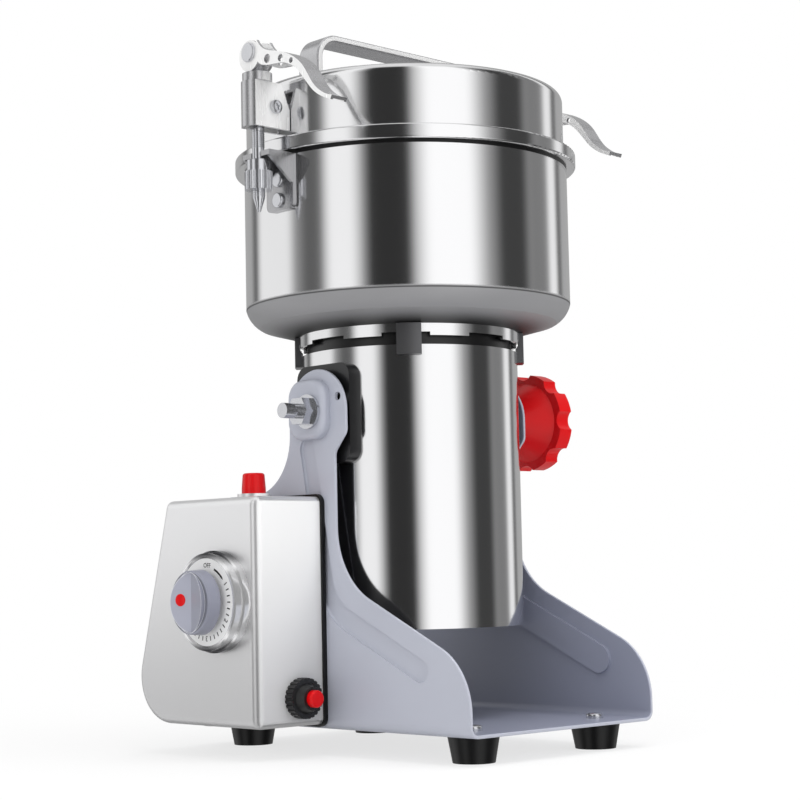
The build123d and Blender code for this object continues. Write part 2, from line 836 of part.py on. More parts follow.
def make_bowl():
    """The grinding bowl: a spun shell with a soft shoulder."""
    shoulder = bowl_low + bowl_shoulder_rise
    wall_low = bowl_low + bowl_wall_rise
    inner_radius = bowl_radius - bowl_wall
    floor_high = bowl_low + bowl_floor
    hole_low = (bowl_hole_radius, bowl_low)
    shoulder_out = (bowl_shoulder_radius, shoulder)
    wall_out = (bowl_radius, wall_low)
    wall_in = (inner_radius, wall_low + bowl_wall)
    shoulder_in = (bowl_shoulder_radius - bowl_wall, shoulder + bowl_floor)
    profile = make_face([
        Polyline(hole_low, (vent_ring_radius, bowl_low), shoulder_out),
        RadiusArc(shoulder_out, wall_out, -bowl_wall_rise),
        Polyline(wall_out, (bowl_radius, bowl_rim), (inner_radius, bowl_rim), wall_in),
        RadiusArc(wall_in, shoulder_in, bowl_wall_rise),
        Polyline(shoulder_in, (vent_ring_radius, floor_high), (bowl_hole_radius, floor_high), hole_low)])
    return revolve(Plane.XZ * profile, Axis.Z)


def make_bowl_seal():
    """The black seal between the bowl's rim and the lid."""
    return tube(bowl_radius, bowl_radius - bowl_wall, seal_low, lid_low)


def make_lid():
    """The lid: a flat-topped pan with a round bead and a spigot inside the bowl."""
    spigot = bowl_radius - bowl_wall - spigot_clearance
    spigot_inner = spigot - lid_spigot_wall
    spigot_low = bowl_rim - lid_spigot_depth
    lid = turned(
        (0, lid_top), (lid_radius, lid_top), (lid_radius, lid_ring_high),
        (lid_ring_radius, lid_ring_high), (lid_ring_radius, lid_low), (spigot, lid_low),
        (spigot, spigot_low), (spigot_inner, spigot_low), (spigot_inner, lid_top - lid_wall),
        (0, lid_top - lid_wall))
    rims = lid.edges().filter_by(GeomType.CIRCLE)
    top_edge = [edge for edge in rims if abs(edge.radius - lid_radius) < seat_clearance and
                abs(edge.center().Z - lid_top) < seat_clearance]
    lid = fillet(top_edge, lid_edge_radius)
    bead = [edge for edge in lid.edges().filter_by(GeomType.CIRCLE)
            if abs(edge.radius - lid_ring_radius) < seat_clearance]
    return fillet(bead, lid_ring_round)


def handle_outline(half_length, top, corner):
    """The arch of the handle in (X, Z), for the outside or the inside of the strap."""
    arch = Pos(0, top - handle_rise / 2) * Rectangle(2 * half_length, handle_rise)
    return rounded(arch, [(-half_length, top, corner), (half_length, top, corner)])


def make_lid_handle():
    """The strap handle, bent from flat bar, with feet turned in under it."""
    top = lid_top + handle_rise
    inner_top = top - handle_thickness
    inner_half = handle_half_length - handle_thickness
    outer = handle_outline(handle_half_length, top, handle_corner)
    inner = handle_outline(inner_half, inner_top, handle_corner - handle_thickness)
    strap = extrude(Plane.XZ * (outer - inner), handle_width / 2, both=True)
    sides = strap.faces().sort_by(Axis.Y)
    rims = [edge for edge in sides[0].edges() + sides[-1].edges()
            if edge.center().Z > lid_top + seat_clearance]
    strap = fillet(rims, handle_round)
    foot = block(-inner_half - overrun, -inner_half + handle_foot, -handle_width / 2, handle_width / 2,
                 lid_top, lid_top + handle_thickness)
    handle = strap + foot + on_right(foot)
    hole = disc(handle_rivet_radius + seat_clearance, lid_top - overrun, inner_top)
    return handle - [Pos(x, 0, 0) * hole for x in handle_rivet_places()]


def handle_rivet_places():
    """The X places of the handle's rivets."""
    place = handle_half_length - handle_thickness - handle_foot / 2
    return [-place, place]


def make_handle_rivets():
    """A rivet through each foot of the handle."""
    foot_top = lid_top + handle_thickness
    shank = disc(handle_rivet_radius, lid_top, foot_top)
    head = disc(handle_rivet_head_radius, foot_top, foot_top + handle_rivet_head_height)
    head = fillet(head.edges().sort_by(Axis.Z)[-1], handle_rivet_head_height / 2)
    return [Pos(x, 0, 0) * (shank + head) for x in handle_rivet_places()]


# Latch, left hand

def make_lid_lug():
    """The tongue on the lid that the latch swings on."""
    inner_half = strap_half_width - strap_wall - face_gap
    low = latch_pivot_height - lug_radius
    high = latch_pivot_height + lug_radius
    tongue = block(-latch_pivot_offset, 0, -inner_half, inner_half, low, high)
    place = facing_front(-latch_pivot_offset, 0, latch_pivot_height)
    end = place * disc(lug_radius, -inner_half, inner_half)
    hole = place * disc(latch_screw_radius + running_clearance, -strap_radius, strap_radius)
    return tongue + end - disc(lid_radius, lid_low, lid_top) - hole


def strap_plan(inset):
    """The strap's plan drawn in by an inset: a bar whose end is an arc about the rod."""
    radius = strap_radius - inset
    half = strap_half_width - inset
    bar = Pos(-rod_offset / 2, 0) * Rectangle(rod_offset, 2 * half)
    return bar + Pos(-rod_offset, 0) * (Circle(radius) & Rectangle(2 * radius, 2 * half))


def make_latch_strap():
    """The bent cover round the rod, with the guide neck on top."""
    shell = Pos(0, 0, strap_low) * extrude(strap_plan(0), strap_high - strap_low)
    inside = Pos(0, 0, strap_low - overrun) * extrude(
        strap_plan(strap_wall), strap_high - strap_wall - strap_low + overrun)
    guide = Pos(-rod_offset, 0, 0) * disc(guide_radius, strap_high, guide_top)
    rod_hole = Pos(-rod_offset, 0, 0) * disc(rod_radius + running_clearance, strap_low, guide_top + overrun)
    wall_room = disc(lid_radius + strap_wall_gap, strap_low - overrun, guide_top + overrun)
    reach = lid_radius + strap_wall_gap
    relief_high = strap_high + overrun
    relief = make_face(Polyline(
        (-reach, latch_pivot_height), (-reach + strap_radius, latch_pivot_height),
        (-reach + strap_radius, relief_high), (-reach - strap_relief, relief_high), close=True))
    relief = extrude(Plane.XZ * relief, strap_radius + overrun, both=True)
    screw_hole = disc(latch_screw_radius + seat_clearance, -strap_radius - overrun, strap_radius + overrun)
    screw_hole = facing_front(-latch_pivot_offset, 0, latch_pivot_height) * screw_hole
    return shell - inside + guide - rod_hole - wall_room - relief - screw_hole


def make_latch_screw():
    """The cross-head screw that the strap swings on."""
    shank = disc(latch_screw_radius, -strap_half_width, strap_half_width)
    head = disc(latch_screw_head_radius, strap_half_width, strap_half_width + latch_screw_head_height)
    head = fillet(head.edges().sort_by(Axis.Z)[-1], latch_screw_head_height / 2)
    return facing_front(-latch_pivot_offset, 0, latch_pivot_height) * (shank + head)


def make_latch_rod():
    """The draw rod: a pointed tip below and a flat eye above."""
    neck_high = lever_pin_height - rod_eye_radius
    bar = turned(
        (0, rod_tip), (rod_tip_radius, rod_tip), (rod_radius, rod_tip + rod_tip_height),
        (rod_radius, neck_high), (0, neck_high))
    eye_sketch = Pos(0, lever_pin_height) * Circle(rod_eye_radius)
    stem = Pos(0, neck_high + rod_eye_radius / 2) * Rectangle(2 * rod_radius, rod_eye_radius)
    eye = extrude(Plane.YZ * (eye_sketch + stem), rod_eye_thickness / 2, both=True)
    bore = disc(lever_pin_radius + running_clearance, -rod_offset, rod_offset)
    bore = facing_left(0, 0, lever_pin_height) * bore
    return Pos(-rod_offset, 0, 0) * (bar + eye - bore)


def lever_places(shares):
    """Points of the lever's side view in (Y, Z) about its pin, from shares of its reach and drop."""
    return [(-along * lever_reach, -down * lever_tip_drop) for along, down in shares]


def lever_outline(drop):
    """The lever's side view in (Y, Z), lowered by a drop: a round head and an arm that bends twice."""
    top = lever_places(lever_top_shares)
    low = lever_places(lever_low_shares)
    arm = make_face([
        Spline(*top), Line(top[-1], low[0]), Spline(*low), Line(low[-1], (0, 0)), Line((0, 0), top[0])])
    cam = Pos(0, -lever_cam_offset) * Circle(lever_cam_radius)
    return Pos(0, lever_pin_height - drop) * (arm + cam)


def make_latch_lever():
    """The cam lever: a bent channel that hooks over the rod's eye."""
    half = lever_width / 2
    body = side_plate(lever_outline(0), -half, half)
    slot = half - lever_wall
    body = body - side_plate(lever_outline(lever_wall), -slot, slot)
    mouth = block(-slot, slot, -lever_mouth, lever_reach, rod_tip, lever_pin_height + lever_reach)
    body = body - mouth
    bore_end = half + overrun
    pin_hole = disc(lever_pin_radius + seat_clearance, -bore_end, bore_end)
    pin_hole = facing_left(0, 0, lever_pin_height) * pin_hole
    holes = [facing_left(0, y, lever_pin_height + z) *
             disc(lever_hole_radius - number * lever_hole_shrink, -bore_end, bore_end)
             for number, (y, z) in enumerate(lever_places(lever_hole_shares))]
    return Pos(-rod_offset, 0, 0) * (body - pin_hole - holes)


def make_lever_pin():
    """The rivet that the lever turns on."""
    half = lever_width / 2
    head = disc(lever_pin_head_radius, half, half + lever_pin_head_height)
    head = fillet(head.edges().sort_by(Axis.Z)[-1], lever_pin_head_height / 2)
    pin = disc(lever_pin_radius, -half, half) + head
    return facing_left(-rod_offset, 0, lever_pin_height) * pin


def make_latch_nut():
    """The knurled nut under the keeper, with a domed collar."""
    knurl = fluted(nut_radius, nut_flute_count, nut_flute_radius, nut_low, nut_collar_low)
    collar = turned(
        (0, nut_collar_low), (nut_collar_radius, nut_collar_low), (nut_collar_radius, nut_high - nut_dome),
        (rod_radius, nut_high), (0, nut_high))
    bore = disc(rod_radius + running_clearance, nut_low - overrun, nut_high + overrun)
    return Pos(-rod_offset, 0, 0) * (knurl + collar - bore)


def make_keeper():
    """The forked keeper: a plate on the bowl's wall with a slotted shelf and two gussets."""
    shelf_high = keeper_shelf + keeper_shelf_wall
    shelf_end = rod_offset + keeper_reach
    shelf = block(-shelf_end, 0, -keeper_half_width, keeper_half_width, keeper_shelf, shelf_high)
    slot_half = rod_radius + keeper_slot_clearance
    slot_low = keeper_shelf - overrun
    slot_high = shelf_high + overrun
    slot = block(-shelf_end - overrun, -rod_offset, -slot_half, slot_half, slot_low, slot_high)
    slot = slot + Pos(-rod_offset, 0, 0) * disc(slot_half, slot_low, slot_high)
    plate_face = bowl_radius + keeper_plate_wall
    height = shelf_high - keeper_low
    plate_sketch = RectangleRounded(2 * keeper_half_width, height, keeper_corner)
    plate_sketch = Pos(0, keeper_low + height / 2) * plate_sketch
    plate = side_plate(plate_sketch, -plate_face, 0) & tube(plate_face, bowl_radius, keeper_low, shelf_high)
    gusset = make_face(Polyline(
        (-shelf_end, keeper_shelf), (0, keeper_shelf), (0, keeper_shelf - keeper_gusset_drop),
        (-plate_face, keeper_shelf - keeper_gusset_drop), close=True))
    side_y = keeper_half_width - keeper_gusset_wall
    gusset = extrude(Plane.XZ.offset(side_y) * gusset, keeper_gusset_wall)
    keeper = plate + shelf + gusset + mirror(gusset, about=Plane.XZ) - slot
    keeper = keeper - disc(bowl_radius, bowl_low, lid_top)
    hole = disc(keeper_rivet_radius + seat_clearance, 0, plate_face)
    return keeper - [place * hole for place in keeper_rivet_places()]


def keeper_rivet_places():
    """Frames of the keeper's two rivets, one over the other, pointing out from the bowl's axis."""
    low = keeper_low + keeper_rivet_rise
    return [facing_left(0, 0, height) for height in (low, low + keeper_rivet_pitch)]


def make_keeper_rivets():
    """The rivets of both keepers."""
    face = bowl_radius + keeper_plate_wall
    shank = disc(keeper_rivet_radius, bowl_radius + seat_clearance, face)
    head = disc(keeper_rivet_radius + keeper_rivet_height, face, face + keeper_rivet_height)
    head = fillet(head.edges().sort_by(Axis.Z)[-1], keeper_rivet_height / 2)
    left = [place * (shank + head) for place in keeper_rivet_places()]
    return left + [on_right(rivet) for rivet in left]


# Motor and cutters

def make_bearings():
    """The two ball bearings as plain rings."""
    lower_low = base_top + base_boss_height - bearing_height
    bore = shaft_radius + running_clearance
    lower = tube(bearing_radius, bore, lower_low, lower_low + bearing_height)
    upper = tube(bearing_radius, bore, bearing_upper_low, bearing_upper_low + bearing_height)
    return [lower, upper]


def make_bearing_plate():
    """The plate at the top of the housing that carries the upper bearing."""
    plate = disc(housing_radius - housing_wall, housing_high - bearing_plate_wall, housing_high)
    boss = disc(bearing_boss_radius, bearing_upper_low, housing_high)
    seat = disc(bearing_radius + seat_clearance, bearing_upper_low - overrun, housing_high + overrun)
    window = disc(bearing_plate_window_radius, bearing_upper_low, housing_high + overrun)
    windows = [loc * window for loc in PolarLocations(bearing_plate_window_at, bearing_plate_window_count)]
    return plate + boss - seat - windows


def make_stator():
    """The motor's stator stack: round where it meets the housing, with four flats for air."""
    stack = disc(housing_radius - housing_wall, stator_low, stator_high)
    square = block(-stator_flat, stator_flat, -stator_flat, stator_flat, stator_low, stator_high)
    return (stack & square) - disc(stator_inner_radius, stator_low - overrun, stator_high + overrun)


def make_field_coils():
    """The windings' ends above and below the stack, as plain rings."""
    upper = tube(coil_outer_radius, coil_inner_radius, stator_high, stator_high + coil_height)
    lower = tube(coil_outer_radius, coil_inner_radius, stator_low - coil_height, stator_low)
    return [lower, upper]


def make_rotor_shaft():
    """The motor shaft, up into the bowl."""
    return disc(shaft_radius, shaft_low, shaft_high)


def make_rotor_core():
    """The rotor stack on the shaft."""
    return tube(rotor_radius, shaft_radius + seat_clearance, stator_low, stator_high)


def make_cooling_fan():
    """The fan over the motor: a plate with straight blades."""
    high = fan_low + fan_height
    half = fan_blade_wall / 2
    plate = disc(fan_radius, fan_low, fan_low + fan_plate_wall)
    hub = disc(fan_hub_radius, fan_low, high)
    blade = block(fan_hub_radius / 2, fan_radius, -half, half, fan_low, high)
    blades = [loc * blade for loc in PolarLocations(0, fan_blade_count)]
    fan = plate + hub + blades
    return fan - disc(shaft_radius + seat_clearance, fan_low - overrun, high + overrun)


def make_cutter(low, hub_high):
    """A two-armed cutter with tapered arms on a hub."""
    half = blade_width / 2
    tip_half = blade_tip_width / 2
    outline = make_face(Polyline(
        (-blade_length, -tip_half), (0, -half), (blade_length, -tip_half),
        (blade_length, tip_half), (0, half), (-blade_length, tip_half), close=True))
    arms = Pos(0, 0, low) * extrude(outline, blade_wall)
    hub = disc(blade_hub_radius, low, hub_high)
    return arms + hub - disc(shaft_radius + seat_clearance, low - overrun, hub_high + overrun)


def make_blade_nut():
    """The nut that holds the cutters on the shaft."""
    low = blade_upper_at + blade_wall
    nut = hexagon(blade_nut_across, low, low + blade_nut_height)
    return nut - disc(shaft_radius + seat_clearance, low - overrun, low + blade_nut_height + overrun)


def latch_pieces():
    """The pieces of the left latch by name, without the side."""
    return {
        "lid_lug": make_lid_lug(), "latch_strap": make_latch_strap(), "latch_screw": make_latch_screw(),
        "latch_rod": make_latch_rod(), "latch_lever": make_latch_lever(), "lever_pin": make_lever_pin(),
        "latch_nut": make_latch_nut(), "keeper": make_keeper()}


def build_pieces():
    """Every piece by its node's name, about the motor's axis."""
    stud_left_end = pad_face + stud_end
    pieces = {
        "stand_frame": make_stand_frame(), "feet": make_feet(), "foot_screws": make_foot_screws(),
        "control_box": make_control_box(), "box_gasket": make_box_gasket(),
        "timer_bezel": make_timer_bezel(), "timer_dial": make_timer_dial(), "timer_body": make_timer_body(),
        "timer_shaft": make_timer_shaft(), "timer_knob": make_timer_knob(),
        "switch_housing": make_switch_housing(), "switch_button": make_switch_button(),
        "reset_housing": make_reset_housing(), "reset_button": make_reset_button(),
        "cord_grommet": make_cord_grommet(), "pivot_bushes": make_pivot_bushes(),
        "pivot_saddles": make_pivot_saddles(), "pivot_stud_left": make_pivot_stud(stud_left_end),
        "pivot_stud_right": on_right(make_pivot_stud(clamp_high - clamp_cap_wall)),
        "pivot_nut": make_pivot_nut(), "pivot_washers": make_pivot_washers(),
        "clamp_knob": make_clamp_knob(), "motor_housing": make_motor_housing(),
        "housing_base": make_housing_base(), "neck_sleeve": make_neck_sleeve(),
        "vent_ring": make_vent_ring(), "neck_posts": make_neck_posts(), "bowl": make_bowl(),
        "bowl_seal": make_bowl_seal(), "lid": make_lid(), "lid_handle": make_lid_handle(),
        "handle_rivets": make_handle_rivets(), "keeper_rivets": make_keeper_rivets(),
        "bearings": make_bearings(), "bearing_plate": make_bearing_plate(), "stator": make_stator(),
        "field_coils": make_field_coils(), "rotor_shaft": make_rotor_shaft(),
        "rotor_core": make_rotor_core(), "cooling_fan": make_cooling_fan(),
        "blade_lower": make_cutter(blade_lower_at, blade_upper_at),
        "blade_upper": Rot(0, 0, blade_turn) * make_cutter(blade_upper_at, blade_upper_at + blade_wall),
        "blade_nut": make_blade_nut()}
    for name, piece in latch_pieces().items():
        pieces[name + "_left"] = piece
        pieces[name + "_right"] = on_right(piece)
    return pieces


def as_solids(piece):
    """The solids of a piece or of a group of pieces."""
    group = piece if isinstance(piece, list) else [piece]
    return [solid for part in group for solid in part.solids()]


nodes = {name: Compound(as_solids(piece)) for name, piece in build_pieces().items()}
whole = Compound([solid for node in nodes.values() for solid in node.solids()]).bounding_box()
footprint_shift = (-(whole.min.X + whole.max.X) / 2, -(whole.min.Y + whole.max.Y) / 2, 0)
os.makedirs("parts", exist_ok=True)
for name, node in nodes.items():
    export_step(Pos(*footprint_shift) * node, os.path.join("parts", name + ".step"))
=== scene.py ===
import json
import logging
import math
from dataclasses import dataclass, replace
from enum import Enum
from typing import Dict, List, Optional, Sequence, Tuple, Union

import bmesh
import bpy
from mathutils import Matrix, Vector


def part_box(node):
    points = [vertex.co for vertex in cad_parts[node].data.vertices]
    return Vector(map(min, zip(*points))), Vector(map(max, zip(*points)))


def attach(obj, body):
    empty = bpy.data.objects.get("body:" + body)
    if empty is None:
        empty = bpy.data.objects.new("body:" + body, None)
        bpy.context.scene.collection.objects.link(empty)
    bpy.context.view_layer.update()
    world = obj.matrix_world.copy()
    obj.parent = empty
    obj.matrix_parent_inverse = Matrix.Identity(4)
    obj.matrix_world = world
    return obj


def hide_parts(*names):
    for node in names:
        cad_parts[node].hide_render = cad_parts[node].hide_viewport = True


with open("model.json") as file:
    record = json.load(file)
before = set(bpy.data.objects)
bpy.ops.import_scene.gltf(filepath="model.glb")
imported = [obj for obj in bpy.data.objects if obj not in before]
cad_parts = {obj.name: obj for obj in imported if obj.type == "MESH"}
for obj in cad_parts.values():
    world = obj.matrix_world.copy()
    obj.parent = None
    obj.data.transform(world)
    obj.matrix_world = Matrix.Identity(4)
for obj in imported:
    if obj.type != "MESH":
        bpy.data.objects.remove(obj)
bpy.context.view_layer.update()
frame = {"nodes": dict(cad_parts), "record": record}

# Looks of a tilting powder grinder. Lengths are metres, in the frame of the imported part.
LOG = logging.getLogger("powder_grinder")
MM = 0.001
Colour = Tuple[float, float, float]
Scale = Tuple[float, float, float]
WHITE: Colour = (1.0, 1.0, 1.0)


class Axis(Enum):
    """The part's directions, by the names of their sockets."""

    X = "X"
    Y = "Y"
    Z = "Z"

    def across(self) -> Scale:
        """1 for the directions across this one, and 0 for itself."""
        return tuple(float(other is not self) for other in Axis)


class Detail(Enum):
    """How many octaves a noise has."""

    PLAIN = 2.0
    FINE = 3.0
    RICH = 4.0


def middle(node: str) -> Vector:
    """The middle of a node's box at rest."""
    low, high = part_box(node)
    return (low + high) / 2


def linear(red: int, green: int, blue: int) -> Colour:
    """Turn a display colour into linear light.

    Args:
        red: Red from 0 to 255.
        green: Green from 0 to 255.
        blue: Blue from 0 to 255.

    Returns:
        The three linear values.
    """
    def channel(value: int) -> float:
        """One channel in linear light, by the sRGB curve."""
        share = value / 255
        return share / 12.92 if share <= 0.04045 else ((share + 0.055) / 1.055) ** 2.4
    return channel(red), channel(green), channel(blue)


def grey(value: int) -> Colour:
    """A display grey from 0 to 255 in linear light."""
    return linear(value, value, value)


class Wire:
    """A socket whose arithmetic adds Math nodes."""

    def __init__(self, sheet: "NodeSheet", socket: Optional[bpy.types.NodeSocket]) -> None:
        """Hold an output socket, if the node has one, and the sheet that its node is on."""
        self.sheet = sheet
        self.socket = socket

    def maths(self, operation: str, first: "Value", second: "Value" = 0.0) -> "Wire":
        """Add one Math node, with a second value where the operation has one."""
        return self.sheet.node("ShaderNodeMath", {"operation": operation}, {0: first, 1: second})

    def __add__(self, other: "Value") -> "Wire":
        """self + other."""
        return self.maths("ADD", self, other)

    def __radd__(self, other: "Value") -> "Wire":
        """other + self."""
        return self.maths("ADD", other, self)

    def __sub__(self, other: "Value") -> "Wire":
        """self - other."""
        return self.maths("SUBTRACT", self, other)

    def __rsub__(self, other: "Value") -> "Wire":
        """other - self."""
        return self.maths("SUBTRACT", other, self)

    def __mul__(self, other: "Value") -> "Wire":
        """self * other."""
        return self.maths("MULTIPLY", self, other)

    def __rmul__(self, other: "Value") -> "Wire":
        """other * self."""
        return self.maths("MULTIPLY", other, self)

    def __truediv__(self, other: "Value") -> "Wire":
        """self / other."""
        return self.maths("DIVIDE", self, other)

    def __rtruediv__(self, other: "Value") -> "Wire":
        """other / self."""
        return self.maths("DIVIDE", other, self)

    def sine(self) -> "Wire":
        """The sine of the value."""
        return self.maths("SINE", self)

    def size(self) -> "Wire":
        """The value without its sign."""
        return self.maths("ABSOLUTE", self)

    def larger(self, other: "Value") -> "Wire":
        """The larger of two values."""
        return self.maths("MAXIMUM", self, other)

    def turn(self, ahead: "Value") -> "Wire":
        """The angle in radians, from a distance ahead and this one aside."""
        return self.maths("ARCTAN2", self, ahead)

    def rise(self, low: float, high: float) -> "Wire":
        """A soft step from 0 at low to 1 at high, which falls where high lies below low."""
        inputs = {"Value": self, "From Min": low, "From Max": high}
        return self.sheet.node("ShaderNodeMapRange", {"interpolation_type": "SMOOTHSTEP"}, inputs)


Value = Union[Wire, float, Sequence[float]]


class NodeSheet:
    """A node tree with one way to add a node."""

    def __init__(self, tree: bpy.types.NodeTree) -> None:
        """Empty a tree and take it over."""
        self.tree = tree
        self.tree.nodes.clear()

    def node(self, kind: str, settings: Optional[dict] = None, inputs: Optional[dict] = None,
             output: Union[int, str] = 0) -> Wire:
        """Add a node.

        Args:
            kind: The node's type.
            settings: Its properties, set first.
            inputs: Values or wires by the name or number of the socket.
            output: Which output to return.

        Returns:
            The output's wire.
        """
        made = self.tree.nodes.new(kind)
        for name, value in (settings or {}).items():
            setattr(made, name, value)
        for key, value in (inputs or {}).items():
            if isinstance(value, Wire):
                self.tree.links.new(value.socket, made.inputs[key])
            else:
                made.inputs[key].default_value = value
        return Wire(self, made.outputs[output] if made.outputs else None)

    def place(self) -> Wire:
        """The point on the piece in the part's frame."""
        return self.node("ShaderNodeTexCoord", output="Object")

    def facing(self) -> Wire:
        """Where the surface faces, in the part's frame."""
        return self.node("ShaderNodeTexCoord", output="Normal")

    def stretched(self, scale: Sequence[float], shift: Sequence[float] = (0.0, 0.0, 0.0)) -> Wire:
        """The point on the piece from a shifted origin, scaled along each axis."""
        moved = self.node("ShaderNodeVectorMath", {"operation": "SUBTRACT"}, {0: self.place(), 1: shift})
        return self.node("ShaderNodeVectorMath", {"operation": "MULTIPLY"}, {0: moved, 1: scale})

    def along(self, axis: Axis, vector: Optional[Wire] = None) -> Wire:
        """One coordinate of a vector, or of the point on the piece."""
        source = vector or self.place()
        return self.node("ShaderNodeSeparateXYZ", inputs={0: source}, output=axis.value)

    def radius(self, centre: Vector, axis: Axis) -> Wire:
        """How far the point lies from the line through a centre along an axis."""
        flat = self.stretched(axis.across(), tuple(centre))
        return self.node("ShaderNodeVectorMath", {"operation": "LENGTH"}, {0: flat}, output="Value")

    def noise(self, scale: Value, detail: Detail) -> Wire:
        """Noise from 0 to 1, with so many cells per metre along each axis, or at ready coordinates."""
        source = scale if isinstance(scale, Wire) else self.stretched(scale)
        return self.node("ShaderNodeTexNoise", inputs={"Vector": source, "Scale": 1.0, "Detail": detail.value})

    def mix(self, share: Value, first: Value, second: Value) -> Wire:
        """Mix two colours: share 0 is the first and 1 the second. The colour sockets go by number."""
        pair = {6: self.opaque(first), 7: self.opaque(second)}
        return self.node("ShaderNodeMix", {"data_type": "RGBA"}, {0: share, **pair}, output=2)

    @staticmethod
    def opaque(colour: Value) -> Value:
        """A colour with its alpha, or a wire as it is."""
        return colour if isinstance(colour, Wire) else (*colour, 1.0)

    def bump(self, height: Value, depth: float, strength: float) -> Wire:
        """The normal of a height from 0 to 1, where 1 stands for a depth in metres."""
        return self.node("ShaderNodeBump", inputs={"Height": height, "Distance": depth, "Strength": strength})

    def principled(self, inputs: Dict[str, Value]) -> Wire:
        """The main shader, with sockets by name."""
        return self.node("ShaderNodeBsdfPrincipled", inputs=inputs)


@dataclass(frozen=True)
class Finish:
    """A surface with a colour, a gloss, a fine grain and a mottle."""

    name: str
    colour: Colour
    roughness: float
    metallic: float = 0.0
    coat: float = 0.0
    coat_roughness: float = 0.12
    specular: float = 0.5
    grain: float = 900.0
    grain_depth: float = 0.00004
    grain_show: float = 0.5
    mottle: float = 0.12
    clump: float = 20.0

    def shade(self, sheet: NodeSheet) -> Wire:
        """Lay out the finish's nodes.

        Args:
            sheet: The material's empty node sheet.

        Returns:
            The shader's wire.
        """
        grain = sheet.noise((self.grain,) * 3, Detail.PLAIN)
        cloud = sheet.noise((self.grain / self.clump,) * 3, Detail.RICH)
        return sheet.principled({
            "Base Color": self.mottled(sheet, cloud), "Metallic": self.metallic,
            "Roughness": self.varied(cloud, self.mottle), "Specular IOR Level": self.specular,
            "Coat Weight": self.coat, "Coat Roughness": self.coat_roughness,
            "Normal": sheet.bump(grain, self.grain_depth, self.grain_show)})

    def varied(self, noise: Wire, share: float) -> Wire:
        """The roughness, varied both ways by a share of itself."""
        return self.roughness * (1 - share) + noise * (2 * self.roughness * share)

    def mottled(self, sheet: NodeSheet, cloud: Wire) -> Wire:
        """The colour, a little darker and lighter in clouds.

        Args:
            sheet: The material's node sheet.
            cloud: The clouds' wire, from 0 to 1.

        Returns:
            The colour's wire.
        """
        dark = tuple(value * (1 - self.mottle) for value in self.colour)
        pale = tuple(min(1.0, value * (1 + self.mottle)) for value in self.colour)
        return sheet.mix(cloud, dark, pale)

    def material(self) -> bpy.types.Material:
        """Make the Blender material.

        Returns:
            The new material.
        """
        made = bpy.data.materials.new(self.name)
        made.use_nodes = True
        sheet = NodeSheet(made.node_tree)
        sheet.node("ShaderNodeOutputMaterial", inputs={"Surface": self.shade(sheet)})
        made.diffuse_color = (*self.colour, 1.0)
        return made


@dataclass(frozen=True)
class SpunSteel(Finish):
    """Steel polished on the lathe: fine rings about the motor's axis, and a matt zone low on one node, with
    painted shade towards the neck and along the zone's top edge.
    """

    grain: float = 2600.0
    grain_depth: float = 0.000012
    grain_show: float = 0.35
    ring_gloss: float = 0.03
    drift: Scale = (9.0, 9.0, 2.0)
    drift_reach: float = 3.0
    clouds: Scale = (14.0, 14.0, 3.0)
    matt_node: str = ""
    matt_rise: float = 17.0 * MM
    matt_above: float = 1.5 * MM
    matt_below: float = 0.5 * MM
    matt_colour: Colour = linear(154, 154, 156)
    matt_rough: float = 0.4
    matt_dull: float = 0.7
    # A thin line of painted shade along the matt zone's top edge, and painted shade that deepens towards the
    # neck, both in a near-black colour.
    seam_from: float = 0.9 * MM
    seam_to: float = 0.5 * MM
    seam_dark: float = 0.8
    neck_node: str = "vent_ring"
    neck_reach: float = 24.0 * MM
    soot: Colour = (0.01, 0.01, 0.01)

    def shade(self, sheet: NodeSheet) -> Wire:
        """Rings on walls and flats, and the matt zone where there is one, darkened by painted shade towards the
        neck and along its top edge.

        Args:
            sheet: The material's empty node sheet.

        Returns:
            The shader's wire.
        """
        height = sheet.along(Axis.Z)
        across = sheet.radius(middle("motor_housing"), Axis.Z)
        drift = sheet.noise(self.drift, Detail.PLAIN)
        groove = {0: across * self.grain, 1: height * self.grain, 2: drift * self.drift_reach}
        rings = sheet.noise(sheet.node("ShaderNodeCombineXYZ", inputs=groove), Detail.FINE)
        cloud = sheet.noise(self.clouds, Detail.FINE)
        rough = self.roughness * (1 - self.mottle) + cloud * (self.roughness * self.mottle)
        inputs: Dict[str, Value] = {
            "Base Color": self.mottled(sheet, cloud), "Metallic": self.metallic,
            "Roughness": rough + rings * self.ring_gloss,
            "Normal": sheet.bump(rings, self.grain_depth, self.grain_show)}
        if self.matt_node:
            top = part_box(self.matt_node)[0].z + self.matt_rise
            matt = height.rise(top + self.matt_above, top - self.matt_below)
            # Painted shade: a dark line along the matt zone's top edge, and darkening that deepens towards the
            # neck.
            edge_shade = (height - top).size().rise(self.seam_from, self.seam_to)
            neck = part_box(self.neck_node)
            inner = (neck[1].x - neck[0].x) / 2
            under = sheet.mix(across.rise(inner + self.neck_reach, inner), self.matt_colour, self.soot)
            under = sheet.mix(edge_shade * self.seam_dark, under, self.soot)
            inputs["Base Color"] = sheet.mix(matt, inputs["Base Color"], under)
            inputs["Roughness"] = inputs["Roughness"] + matt * self.matt_rough
            inputs["Metallic"] = self.metallic - matt * self.matt_dull
        return sheet.principled(inputs)


